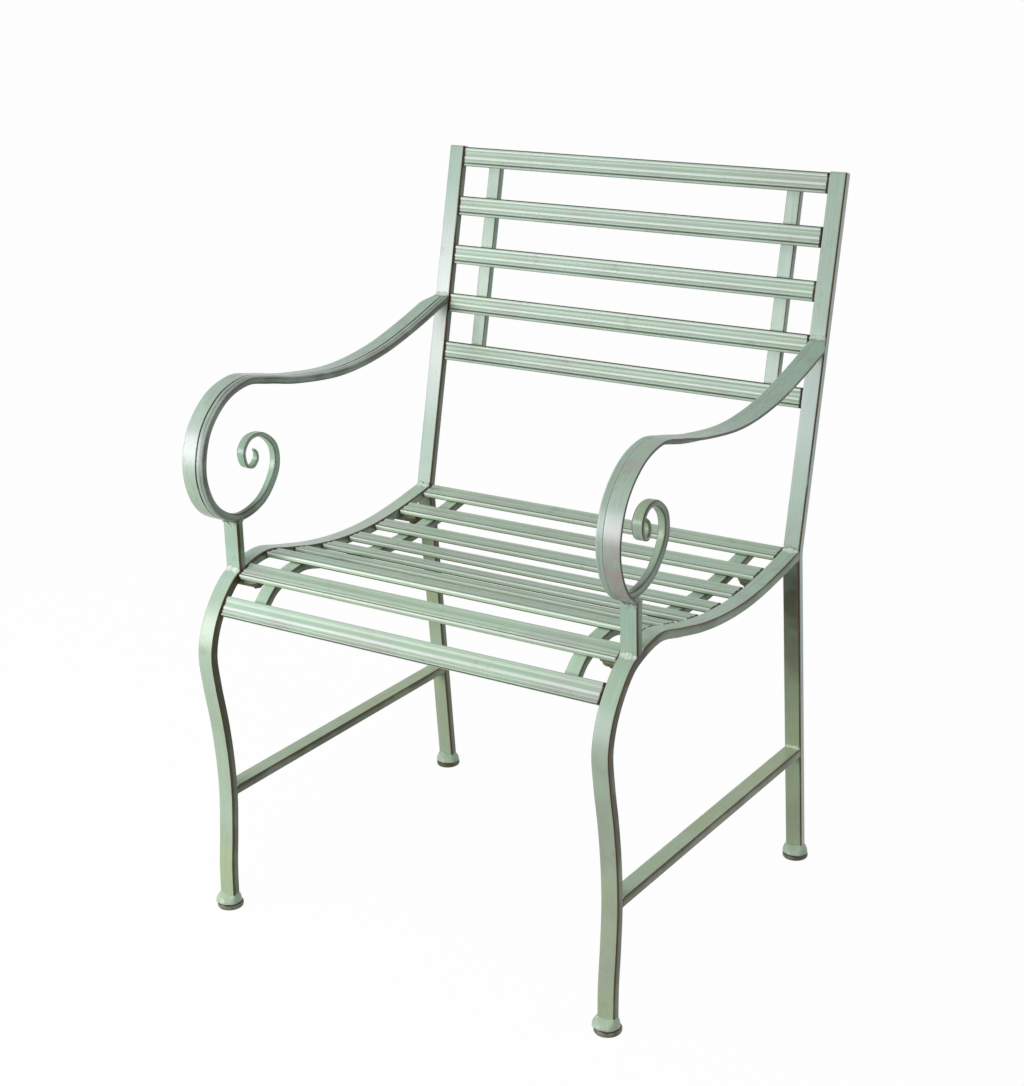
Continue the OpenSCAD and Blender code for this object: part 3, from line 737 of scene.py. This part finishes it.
def armStripPart(sideName, sign):
    # width * (narrow + (1 - narrow) * rise over the first and the last centimetres)
    full = rise(stripRun, 0, strip["over"]) * rise(stripRun[-1] - stripRun, 0, strip["over"])
    widths = strip["narrow"] + (1 - strip["narrow"]) * full
    ribbon = dict(stripShape, wear=np.maximum(stripShape["wear"], scroll["seam"][sideName] * stripSeam))
    part = carried(stripLine, ribbon, arm["stripX"], sign, ends=(0, 0.8 * mm), widths=widths,
                   cutPlane=postFace)
    knots = np.interp(part["along"] + armRun[stripFrom], armRun, knotPlace)
    dust, shine = (np.interp(knots, strip["knots"], strip[sideName][key]) for key in ("dust", "shine"))
    part["dust"] = dust * part["onFace"]
    # painted highlight along the front of the loop
    part["rub"] = np.maximum(part["rub"] * 0.5, shine * part["onFace"])
    return part


for sideName, sign in sides:
    makePiece([sideName + "_arm_scroll"], [armScrollPart(sideName, sign)], scrollPaints[sideName],
              shift=moved["scroll"] * sign)
    makePiece([sideName + "_arm_strip"], [armStripPart(sideName, sign)], armPaints[sideName],
              shift=moved["strip"] * sign)
print("arms")


# Slats: a rolled channel with a shoulder, two shallow coves, a ridge, a bead and a lip

slat = dict(
    width=25 * mm, depth=7 * mm, wall=1.8 * mm, flute=1 * mm, half=(firstSlat[1].x - firstSlat[0].x) / 2,
    seatFirst=5.5 * mm, seatLast=63.4 * mm, backFirst=1.4 * mm, backPitch=64.2 * mm, seatCount=9,
    backCount=5, stations=45, rounding=0.3 * mm,
    lessWorn=0.6,      # share of the dark lines, worn lines and painted shade, on the last slat but one
)


def slatShape():
    # closed outline (y, z) of the channel, y from the front or lower edge to the rear or upper one, with
    # dark lines in the groove, which are painted shade, and on the edges, painted highlights on the
    # shoulder, ridge, bead and lip, and dust in the coves: each is height * e^-((distance / width)^2)
    e, f, deep, wall = slat["width"] / 2, slat["flute"], slat["depth"], slat["wall"]
    face = np.array([
        [e - 0.15 * mm, -0.9 * mm], [e - 1.0 * mm, -0.2 * mm], [e - 2.4 * mm, 0], [e - 4.4 * mm, -0.05 * mm],
        [e - 5.8 * mm, -0.6 * f], [e - 7.4 * mm, -f], [2.4 * mm, -f], [0.9 * mm, -0.75 * f],
        [-0.2 * mm, -0.12 * f], [-1.6 * mm, 0], [-3.2 * mm, -0.2 * f], [-4.2 * mm, -0.85 * f],
        [-5.0 * mm, -0.95 * f], [-5.8 * mm, -0.6 * f], [-6.6 * mm, -0.5 * f], [-7.4 * mm, -0.8 * f],
        [-8.2 * mm, -1.6 * f], [-8.9 * mm, -1.5 * f], [-9.6 * mm, -0.5 * f], [-10.5 * mm, -0.25 * f],
        [1.0 * mm - e, -0.5 * f], [0.3 * mm - e, -1.2 * mm],
    ])
    face = lineThrough(face, 6)
    front = np.array([
        [-e, -2.2 * mm], [-e, -3.0 * mm], [-e, -4 * mm], [-e, 1.9 * mm - deep], [-e, 1.2 * mm - deep],
        [0.3 * mm - e, 0.3 * mm - deep],
    ])
    foot = np.array([
        [0.9 * mm - e, -deep], [wall - e - 0.4 * mm, 0.1 * mm - deep], [wall - e, 0.6 * mm - deep],
    ])
    roof = -f - wall - 0.4 * mm
    inner = np.array([
        [wall - e, 1.4 * mm - deep], [wall - e, roof - 1.2 * mm], [wall - e + 0.4 * mm, roof - 0.4 * mm],
        [wall - e + 1.2 * mm, roof], [0, roof],
    ])
    mirrored = [-1, 1]
    inner = np.vstack([inner, inner[-2::-1] * mirrored])
    outline = np.vstack([face, front, foot, inner, foot[::-1] * mirrored, front[::-1] * mirrored])
    y, z = outline[:, 0], outline[:, 1]
    onFace = np.arange(len(outline)) < len(face)

    def line(middle, width, height=1.0):
        return np.where(onFace, height * np.exp(-((y - middle * mm) / (width * mm)) ** 2), 0)

    def spot(middleY, middleZ, width):
        return np.exp(-((y - middleY) ** 2 + (z - middleZ) ** 2) / (width * mm) ** 2)

    underEdge = spot(-e, 0.5 * mm - deep, 1.0)
    bands = line(8.8, 1.2) + line(-0.7, 1.0) + line(-2.4, 1.2, 0.6) + line(-6.5, 0.5, 0.6)
    lip = 1.3 * spot(-e, -1.6 * mm, 1.2)
    mauve = np.clip(line(-9.0, 1.6) + line(-4.5, 1.5, 0.7) + line(5.5, 2.5, 0.5), 0, 1)
    faceEdges = np.maximum(1.2 * spot(e - 0.3 * mm, -0.5 * mm, 1.1), spot(-e, -1.7 * mm, 0.8))
    outside = np.abs(y) > e - mm
    # glaze and shading: none on the top face, and the slat paint's lighter colour on the edge and inner
    # faces, painted light on the front faces
    return dict(
        outline=outline, around=runAlong(outline), glaze=np.where(onFace, 0, np.where(outside, 1.0, 2.0)),
        seat=dict(wear=np.maximum(line(-10.7, 0.7), underEdge), rub=0.3 * bands + lip, dust=0.4 * mauve),
        front=dict(
            wear=np.maximum(line(-8.6, 0.6, 0.3), spot(-e, -1.4 * mm, 1.3)),
            rub=line(10.2, 0.8, 0.4) + line(-1.4, 2.0) + line(-6.2, 0.7, 0.3),
            dust=line(-4.6, 1.2, 0.8) + line(-9.6, 1.2, 0.6),
        ),
        back=dict(
            wear=np.maximum(np.maximum(line(-8.5, 0.65), 0.8 * underEdge), faceEdges),
            rub=0.9 * bands + 0.7 * lip, dust=0.2 * mauve,
        ),
    )


slatSection = slatShape()


def onSlat(points, place, sign=1):
    # local (x, y, z) in the place of a slat: middle + y * (cos a, sin a) + z * (-sin a, cos a) beside X
    (y0, z0), angle = place
    x, y, z = points[..., 0], points[..., 1], points[..., 2]
    cosine, sine = math.cos(angle), math.sin(angle)
    return np.stack([sign * x, y0 + y * cosine - z * sine, z0 + y * sine + z * cosine], axis=-1)


def slatPart(place, kind):
    # the outline carried straight across the chair, where the first and the last ring lie inside it, along
    # (-dz, dy), to round the cut ends
    stations = np.linspace(-slat["half"], slat["half"], slat["stations"])
    nearEnd = np.array([0, 0.35, 1.8, 2.3]) * mm
    stations = np.concatenate([stations[0] + nearEnd, stations[1:-1], stations[-1] - nearEnd[::-1]])
    outline = slatSection["outline"]
    ahead = np.roll(outline, -1, axis=0) - np.roll(outline, 1, axis=0)
    ahead /= np.linalg.norm(ahead, axis=1)[:, None]
    inset = np.zeros((len(stations), 1))
    inset[[0, -1]] = slat["rounding"]
    y = outline[:, 0] - ahead[:, 1] * inset
    z = outline[:, 1] + ahead[:, 0] * inset
    points = onSlat(np.stack(np.broadcast_arrays(stations[:, None], y, z), axis=-1), place)
    own = slatSection[kind]
    wear = np.tile(own["wear"], (len(stations), 1))
    # painted shade: the cut ends are dark, as the gaps beside the posts and rails are
    wear[[0, 1, 2, -3, -2, -1]] = np.array([1, 1, 0.9, 0.9, 1, 1])[:, None]
    around, glaze = slatSection["around"], slatSection["glaze"]
    return gridPart(points, around, stations, wear, glaze, own["rub"], own["dust"])


def chord(line, distance):
    # middle and angle of the chord, one slat wide, about a place on a line
    a, b = pointAt(line, distance + np.array([-0.5, 0.5]) * slat["width"])
    return (a + b) / 2, math.atan2(a[1] - b[1], a[0] - b[0])


railRun = runAlong(rail)
railAtPost = railRun[rail[:, 0] <= side["postY"]][0]
railAtKnee = railRun[kneeKnot * knotSteps]
seatPitch = (railAtKnee - slat["seatLast"] - railAtPost - slat["seatFirst"]) / (slat["seatCount"] - 1)
seatMiddles = railAtPost + slat["seatFirst"] + seatPitch * np.arange(slat["seatCount"])
seatPlaces = [chord(rail, middle) for middle in seatMiddles]
backDown = np.array([-math.sin(side["backLean"]), -math.cos(side["backLean"])])
backMiddles = slat["backFirst"] + slat["width"] / 2 + slat["backPitch"] * np.arange(slat["backCount"])
backPlaces = [(post[0] + backDown * down, math.pi / 2 - side["backLean"]) for down in backMiddles]
for i, place in enumerate(seatPlaces):
    part = slatPart(place, "front" if i == slat["seatCount"] - 1 else "seat")
    part["wear"] *= slat["lessWorn"] if i == slat["seatCount"] - 2 else 1
    makePiece([f"seat_slat_{i + 1}"], [part], slatPaint, shift=moved["slat"] * i)
for i, place in enumerate(backPlaces):
    makePiece([f"back_slat_{i + 1}"], [slatPart(place, "back")], slatPaint,
              shift=moved["backSlat"] + moved["slat"] * i)
print("slats")


# Straps under the seat and behind the back

strap = dict(
    width=18 * mm, thick=10 * mm, short=3 * mm, gap=0.3 * mm, innerX=seatStrap[0].x, corner=1.2 * mm,
)
strapShape = barSection(strap["width"], strap["thick"], strap["corner"])
belowSeat = rail + leftOf(rail) * (slat["depth"] + strap["gap"])
strapFrom = railAtPost + slat["seatFirst"] - slat["width"] / 2 + strap["short"]
strapTo = strapFrom + (slat["seatCount"] - 1) * seatPitch + slat["width"] - 2 * strap["short"]
seatStrapLine = evenly(belowSeat[(railRun > strapFrom) & (railRun < strapTo)], 4 * mm)
strapTop = post[0] + backDown * (slat["backFirst"] + strap["short"])
strapTop = strapTop + np.array([-backDown[1], backDown[0]]) * (slat["depth"] + strap["gap"])
strapLength = (slat["backCount"] - 1) * slat["backPitch"] + slat["width"] - 2 * strap["short"]
backStrapLine = evenly(np.array([strapTop, strapTop + backDown * strapLength]), 6 * mm)
for sideName, sign in sides:
    under, behind = (carried(line, strapShape, strap["innerX"], sign, ends=(mm, mm))
                     for line in (seatStrapLine, backStrapLine))
    makePiece([sideName + "_seat_strap"], [under], strapPaint,
              shift=moved["seatStrap"] * sign)
    makePiece([sideName + "_back_strap"], [behind], backStrapPaint,
              shift=moved["backStrap"] * sign)
print("straps")


# Lugs, washers and bolts, in the place of a slat

lug = dict(
    width=24 * mm, thick=5 * mm, boltIn=15 * mm, lap=15 * mm, hole=4.5 * mm, drop=11.3 * mm, round=0.8 * mm,
    chamfer=0.3 * mm, glaze=0.35, worn=[0.5, 0.2, 0, 0.5, 1, 0.6, 0.6, 1, 0.5, 0, 0.2, 0.5],
)
bolt = dict(
    radius=4 * mm, flats=13 * mm, headH=5.3 * mm, washerR=8 * mm, washerT=1.6 * mm, tip=4.2 * mm,
    chamfer=0.35 * mm, glaze=0.4,
)
boltX = side["innerX"] - lug["boltIn"]


def lugPart(place, sign):
    # outline: half circle round the bolt, then straight to the bar; rings run over the plate and down the
    # hole, and at a rounded edge they lie e(1 - sin t) inside the outline where they are e(1 - cos t) up
    nose = np.linspace(math.pi / 2, 3 * math.pi / 2, 33)
    r = lug["width"] / 2
    straight = np.linspace(0, lug["boltIn"] + lug["lap"], 9)[1:]
    outline = np.vstack([
        np.stack([boltX + r * np.cos(nose), r * np.sin(nose)], axis=1),
        np.stack([boltX + straight, np.full(8, -r)], axis=1),
        np.stack([np.full(5, boltX + straight[-1]), np.linspace(-r, r, 7)[1:-1]], axis=1),
        np.stack([boltX + straight[::-1], np.full(8, r)], axis=1),
    ])
    away = (outline - [boltX, 0]) / np.linalg.norm(outline - [boltX, 0], axis=1)[:, None]
    hole = np.array([boltX, 0]) + lug["hole"] * away
    e, c, top, low = lug["round"], lug["chamfer"], -lug["drop"], -lug["drop"] - lug["thick"]
    turn = np.linspace(0, math.pi / 2, 4)
    levels = [(hole, low + c), (hole + c * away, low)]
    levels += [(outline - away * e * (1 - math.sin(t)), low + e * (1 - math.cos(t))) for t in turn]
    levels += [(outline - away * e * (1 - math.cos(t)), top - e * (1 - math.sin(t))) for t in turn]
    levels += [(hole + c * away, top), (hole, top - c)]
    rings = np.array([np.column_stack([ring, np.full(len(ring), high)]) for ring, high in levels])
    worn, down = np.array(lug["worn"])[:, None], np.linspace(0, 30 * mm, len(rings))
    return gridPart(onSlat(rings, place, sign), runAlong(outline), down, worn, lug["glaze"], wrapAlong=True)


def turnedPart(place, sign, profile, stretch=1.0, wear=0.3, count=48, closed=False):
    # profile (radius, z) turned about the bolt; the stretch changes the radius with the bearing
    bearing = np.linspace(0, 2 * math.pi, count, endpoint=False)
    profile = np.array(profile)
    radius = profile[:, :1] * (stretch(bearing) if callable(stretch) else stretch)
    points = np.stack([
        boltX + radius * np.cos(bearing), radius * np.sin(bearing), np.repeat(profile[:, 1:], count, axis=1),
    ], axis=-1)
    around, points = bearing * profile[:, 0].max(), onSlat(points, place, sign)
    return gridPart(points, around, runAlong(profile), wear, bolt["glaze"], wrapAlong=closed)


def hexagon(bearing):
    # distance to the side of a hexagon, as a share of the distance to the middle of a flat
    return 1 / np.cos((bearing + math.pi / 6) % (math.pi / 3) - math.pi / 6)


def washerPart(place, sign):
    # flat ring with its four edges cut off at 45 degrees
    top = -lug["drop"] - lug["thick"]
    low = top - bolt["washerT"]
    inner, outer, e = lug["hole"], bolt["washerR"], bolt["chamfer"]
    profile = [[inner, low + e], [inner + e, low], [outer - e, low], [outer, low + e], [outer, top - e],
               [outer - e, top], [inner + e, top], [inner, top - e]]
    return turnedPart(place, sign, profile, closed=True)


def boltParts(place, sign):
    # hexagonal head that narrows by a fifth over its last 1.3 mm, and a round shank that ends in a chamfer
    top = -lug["drop"] - lug["thick"] - bolt["washerT"]
    low, flat, radius, tip = top - bolt["headH"], bolt["flats"] / 2, bolt["radius"], -bolt["tip"]
    head = [
        [0.2 * mm, low], [flat * 0.80, low], [flat * 0.90, low + 0.25 * mm], [flat * 0.985, low + 0.9 * mm],
        [flat, low + 1.3 * mm], [flat, top - 0.2 * mm], [flat * 0.97, top],
    ]
    shank = [
        [radius * 0.98, top - 0.5 * mm], [radius, top], [radius, tip - 0.6 * mm], [radius - 0.5 * mm, tip],
    ]
    return [turnedPart(place, sign, head, hexagon, wear=0.5), turnedPart(place, sign, shank, count=32)]


# for the seat and the back: the places of the slats, and the rows of lugs with the slat of each
fixings = dict(
    seat=(seatPlaces, dict(rear=1, front=7)),
    back=(backPlaces, dict(upper=1, lower=3)),
)
for area, (slatPlaces, rows) in fixings.items():
    for row, k in rows.items():
        for sideName, sign in sides:
            makePiece([f"{row}_{sideName}_{area}_lug"], [lugPart(slatPlaces[k], sign)], strapPaint,
                      shift=moved["lug"] * sign)
    spots = [(slatPlaces[k], sign) for k in rows.values() for _, sign in sides]
    washers = [washerPart(*spot) for spot in spots]
    bolts = [part for spot in spots for part in boltParts(*spot)]
    makePiece([area + "_washers"], washers, hardwarePaint)
    makePiece([area + "_bolts"], bolts, hardwarePaint)
    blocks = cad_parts[area + "_nut_blocks"]
    blocks.data.materials.clear()
    blocks.data.materials.append(blockPaint)
print("lugs, washers and bolts")


# Feet: a pad, a dark line, and a weld collar that runs up from the pad's circle to the bar

foot = dict(
    padR=16.2 * mm, lineR=15.0 * mm, collarR=16.0 * mm, collarLow=8.4 * mm, collarTop=20 * mm,
    points=96, steps=14, ringGap=1.2 * mm,
    front=dict(lean=0.0, slip=-1.6 * mm), rear=dict(lean=-0.05, slip=0.4 * mm),
)


def footPart(centreY, sign, lean, slip):
    # the collar starts on a circle with 3 and 7 soft waves and ends on the bar's rectangle, the curve
    # |x / halfW|^9 + |y / halfT|^9 = 1: it is t^1.5 of the way in where it is t^0.8 of the way up
    count, steps = foot["points"], foot["steps"]
    bearing = np.linspace(0, 2 * math.pi, count, endpoint=False)
    halfW, halfT = side["barW"] / 2 + 0.1 * mm, side["barT"] / 2 + 0.1 * mm
    soft = ((np.abs(np.cos(bearing)) / halfW) ** 9 + (np.abs(np.sin(bearing)) / halfT) ** 9) ** (-1 / 9)
    padR, lineR, low = foot["padR"], foot["lineR"], foot["collarLow"]
    pad = np.array([
        [0.3 * mm, 0], [padR - 2 * mm, 0], [padR - 0.7 * mm, 0.5 * mm], [padR, 1.6 * mm], [padR, 3.2 * mm],
        [padR, 4.6 * mm], [padR - 0.4 * mm, 5.4 * mm], [lineR, 5.9 * mm], [lineR, 6.5 * mm],
    ])
    swell = 1 + 0.03 * np.sin(3 * bearing + 1.3 + centreY * 40) + 0.018 * np.sin(7 * bearing + sign)
    under = foot["collarR"] * swell
    t = np.linspace(0, 1, steps)[:, None]
    share = t**1.5
    high = low + (foot["collarTop"] - low) * t**0.8 * (0.9 + 0.1 * np.sin(2 * bearing + 0.5 + sign))
    rings = np.concatenate([
        np.broadcast_to(pad[:, None], (len(pad), count, 2)),
        [np.column_stack([under - 0.5 * mm, np.full(count, 6.9 * mm)])],
        [np.column_stack([under, np.full(count, 7.6 * mm)])],
        np.stack([under * (1 - share) + soft * share, high], axis=-1),
    ])
    slips = np.concatenate([np.zeros((len(pad), 1)), [[slip], [slip]], slip * (1 - share)])
    x = rings[..., 0] * np.cos(bearing) + slips
    y = rings[..., 0] * np.sin(bearing) + lean * rings[..., 1]
    points = np.stack([sign * (side["innerX"] + side["barW"] / 2) + x, centreY + y, rings[..., 1]], axis=-1)
    wear = np.zeros(len(rings))
    wear[7:11] = [0.6, 1, 1, 0.6]
    wear[1:3] = [0.8, 0.5]
    # painted shade darkens the pad and the line under the collar, and a painted highlight fades up the
    # collar
    glaze = np.concatenate([np.full(6, 0.8), [0.9, 1, 1, 0.6, 0.2], np.zeros(steps)])
    rub = np.concatenate([np.zeros(len(rings) - steps), np.linspace(1, 0, steps)])
    run = np.cumsum(np.full(len(rings), foot["ringGap"]))
    return gridPart(points, bearing * padR, run, wear[:, None], glaze[:, None], rub[:, None])


for sideName, sign in sides:
    for row, box in (("front", frontFoot), ("rear", rearFoot)):
        part = footPart((box[0].y + box[1].y) / 2, sign, **foot[row])
        makePiece([f"{row}_{sideName}_foot"], [part], footPaint)
print("feet")


# Welds: fillets in the corners where bars meet, with the reach of each on its two faces

weld = dict(
    onRail=(4.2 * mm, 5.2 * mm), underArm=(5 * mm, 5 * mm), overRail=(3.6 * mm, 5 * mm),
    underRail=(3 * mm, 4 * mm), overStretcher=(3 * mm, 4 * mm), underStretcher=(2.4 * mm, 3 * mm),
    arm=(3.4 * mm, 5 * mm), short=0.7 * mm, deep=1.5 * mm, across=25, steps=11, seedStep=1.7,
)


def filletPart(corner, alongA, alongB, reach, sign, seed):
    # across the bar, each ring is a hollow curve from a place on face A to one on face B and back inside the
    # bars; curve = (1 - t)^2 A + 2t(1 - t) C + t^2 B, with C near the corner, and the reaches swing a little
    halfX = side["barW"] / 2 - weld["short"]
    x = np.linspace(-1, 1, weld["across"])
    ripple = 1 + 0.22 * np.sin(5.3 * x + seed) + 0.13 * np.sin(13.7 * x + 2.1 * seed)
    size = (ripple * (1 - 0.5 * np.abs(x) ** 6))[:, None, None]
    a, b = np.array(alongA) / np.linalg.norm(alongA), np.array(alongB) / np.linalg.norm(alongB)
    t = np.linspace(0, 1, weld["steps"])[:, None]
    start, end = a * reach[0] * size, b * reach[1] * size
    curve = (1 - t) ** 2 * start + 2 * t * (1 - t) * (start + end) * 0.2 + t**2 * end
    inside = np.concatenate([end, start], axis=1) - (a + b) * weld["deep"]
    rings = np.concatenate([curve, inside], axis=1) + corner
    level = np.repeat(side["innerX"] + side["barW"] / 2 + x * halfX, rings.shape[1]).reshape(len(x), -1, 1)
    # painted highlight across the middle of each fillet, and dark lines along its two edges
    rub = np.append(np.sin(np.linspace(0, math.pi, weld["steps"])), [0, 0])
    wear = np.zeros(len(rub))
    wear[[0, weld["steps"] - 1]] = 0.35
    points = np.concatenate([sign * level, rings], axis=-1)
    return gridPart(points, runAlong(rings[len(x) // 2]), x * halfX + halfX, wear, 0.0, rub)


def onRail(y, drop=0.0):
    # place and direction of the rail's top face, or of the face that far below it, where it passes y
    line = rail[:legKnot * knotSteps]
    k = int(np.argmin(np.abs(line[:, 0] - y)))
    left = leftOf(line)[k]
    return rail[k] + left * drop, np.array([left[1], -left[0]])


# each joint: its corner, the directions of two faces from there, and the weld's reach
postUp = np.array([math.sin(side["backLean"]), math.cos(side["backLean"])])
legDown = np.array([math.sin(side["legSplay"]), -math.cos(side["legSplay"])])
joints = []
for y, away in ((armPost["frontY"], 1), (armPost["frontY"] + side["barT"], -1)):
    place, ahead = onRail(y)
    joints.append((place, (0, 1), ahead * away, weld["onRail"]))
    joints.append(((y, arm["foot"][1]), (0, -1), (-away, 0.02 + 0.1 * (away < 0)), weld["underArm"]))
over, ahead = onRail(side["postY"])
below = onRail(side["postY"], side["barT"])[0]
high, low = side["stretcherTop"], side["stretcherTop"] - side["barT"]
rearY, legY = stretcher["backY"] - 2 * mm, stretcher["frontY"] + 2 * mm
armLeft = leftOf(armCurve)[int(crossKnot * knotSteps)]
armAhead = np.array([-armLeft[1], armLeft[0]])
joints += [
    (over, postUp, ahead, weld["overRail"]),
    (below, -postUp, ahead, weld["underRail"]),
    ((rearY, high), -legDown, (-1, 0), weld["overStretcher"]),
    ((rearY + 0.8 * mm, low), legDown, (-1, 0), weld["underStretcher"]),
    ((legY, high), (0.12, 1), (1, 0), weld["overStretcher"]),
    ((legY, low), (-0.1, -1), (1, 0), weld["underStretcher"]),
    (arm["back"], postUp, -armAhead * np.sign(armAhead[0]), weld["arm"]),
]
for sideName, sign in sides:
    fillets = [filletPart(*joint, sign, weld["seedStep"] * k + sign) for k, joint in enumerate(joints)]
    makePiece([], fillets, weldPaint, name=sideName + "FrameWelds")
print("welds")


# Floor, light and camera

studio = dict(
    floorSize=40.0, floorGrey=0.25, floorSeen=0.97, floorGlow=0.97, ambient=0.3,
    softbox=dict(power=36, azimuth=-33, distance=2.3, high=0.88, width=1.4, height=1.0),
    top=dict(strength=0.45, azimuth=10, elevation=70, spread=35),
    fill=dict(strength=0.45, azimuth=105, elevation=28, spread=40),
)


def seenWhite(graph):
    # 1 for camera, glossy and transmission rays
    rays = graph.add("ShaderNodeLightPath", {})
    return (rays["Is Camera Ray"] + rays["Is Glossy Ray"] + rays["Is Transmission Ray"]).clamped()


def placed(name, data, matrix=Matrix()):
    # an object of the stage, in the scene
    holder = bpy.data.objects.new(name, data)
    holder.matrix_world = matrix
    bpy.context.scene.collection.objects.link(holder)
    return holder


def addFloor():
    # a sheet that gives back grey light and shows white: grey = floorGrey + (floorSeen - floorGrey) * white,
    # and where it is seen it glows by a share floorGlow
    half = studio["floorSize"]
    mesh = bpy.data.meshes.new("floor")
    corners = [(x * half, y * half, 0) for x, y in ((-1, -1), (1, -1), (1, 1), (-1, 1))]
    mesh.from_pydata(corners, [], [(0, 1, 2, 3)])
    floor = placed("floor", mesh)
    material = bpy.data.materials.new("floorPaper")
    g = Graph(material)
    white = seenWhite(g)
    grey = white * (studio["floorSeen"] - studio["floorGrey"]) + studio["floorGrey"]
    paper = g.add("ShaderNodeBsdfDiffuse", {}, Color=grey)["BSDF"]
    glow = g.add("ShaderNodeEmission", {}, Color=(1, 1, 1, 1), Strength=1.0)["Emission"]
    sheet = g.add("ShaderNodeMixShader", {}, white * studio["floorGlow"], paper, glow)["Shader"]
    g.add("ShaderNodeOutputMaterial", {}, sheet)
    mesh.materials.append(material)


def addSky():
    # white where it is seen, and elsewhere a soft light: level = ambient + (1 - ambient) * white
    world = bpy.data.worlds.new("studio")
    bpy.context.scene.world = world
    g = Graph(world)
    level = seenWhite(g) * (1 - studio["ambient"]) + studio["ambient"]
    sky = g.add("ShaderNodeBackground", {}, (1, 1, 1, 1), level)["Background"]
    g.add("ShaderNodeOutputWorld", {}, sky)


def towards(azimuth, elevation):
    # direction (sin a cos e, -cos a cos e, sin e) from the chair; azimuth 0 is its front, 90 its right
    a, e = math.radians(azimuth), math.radians(elevation)
    return np.array([math.sin(a) * math.cos(e), -math.cos(a) * math.cos(e), math.sin(e)])


def facing(back, place=(0, 0, 0), roll=0.0):
    # matrix with the columns right, up, back and place, for a lamp or camera that looks against back:
    # right = level * cos(roll) + upright * sin(roll), up = upright * cos(roll) - level * sin(roll)
    back = back / np.linalg.norm(back)
    level = np.array([-back[1], back[0], 0]) / math.hypot(back[0], back[1])
    upright = np.cross(back, level)
    right = math.cos(roll) * level + math.sin(roll) * upright
    up = math.cos(roll) * upright - math.sin(roll) * level
    return Matrix([[right[i], up[i], back[i], place[i]] for i in range(3)] + [[0, 0, 0, 1]])


def addSun(name, strength, azimuth, elevation, spread):
    # a far lamp in a direction, as wide as its spread in degrees
    lamp = bpy.data.lights.new(name, "SUN")
    lamp.energy, lamp.angle = strength, math.radians(spread)
    placed(name, lamp, facing(towards(azimuth, elevation)))


def addSoftbox(power, azimuth, distance, high, width, height):
    # a bright panel that looks at the middle of the seat
    lamp = bpy.data.lights.new("softbox", "AREA")
    lamp.energy, lamp.shape, lamp.size, lamp.size_y = power, "RECTANGLE", width, height
    place = towards(azimuth, 0) * distance + [0, 0, high]
    placed("softbox", lamp, facing(place - [0, 0, side["seatH"]], place))


cameraLook = dict(
    place=(1.2681, -1.9341, 1.2458), azimuth=33.66, elevation=19.12, roll=-1.41, lens=70.76, sensor=36.0,
)


def addCamera():
    # the camera that the photograph was taken with, as fitted to the chair's straight parts
    look = cameraLook
    lens = bpy.data.cameras.new("camera")
    lens.sensor_fit, lens.sensor_width, lens.lens = "HORIZONTAL", look["sensor"], look["lens"]
    view = facing(towards(look["azimuth"], look["elevation"]), look["place"], math.radians(look["roll"]))
    bpy.context.scene.camera = placed("camera", lens, view)


addFloor()
addSky()
addSoftbox(**studio["softbox"])
for name in ("top", "fill"):
    addSun(name, **studio[name])
addCamera()
bpy.context.scene.view_settings.view_transform = "Standard"
print("studio")
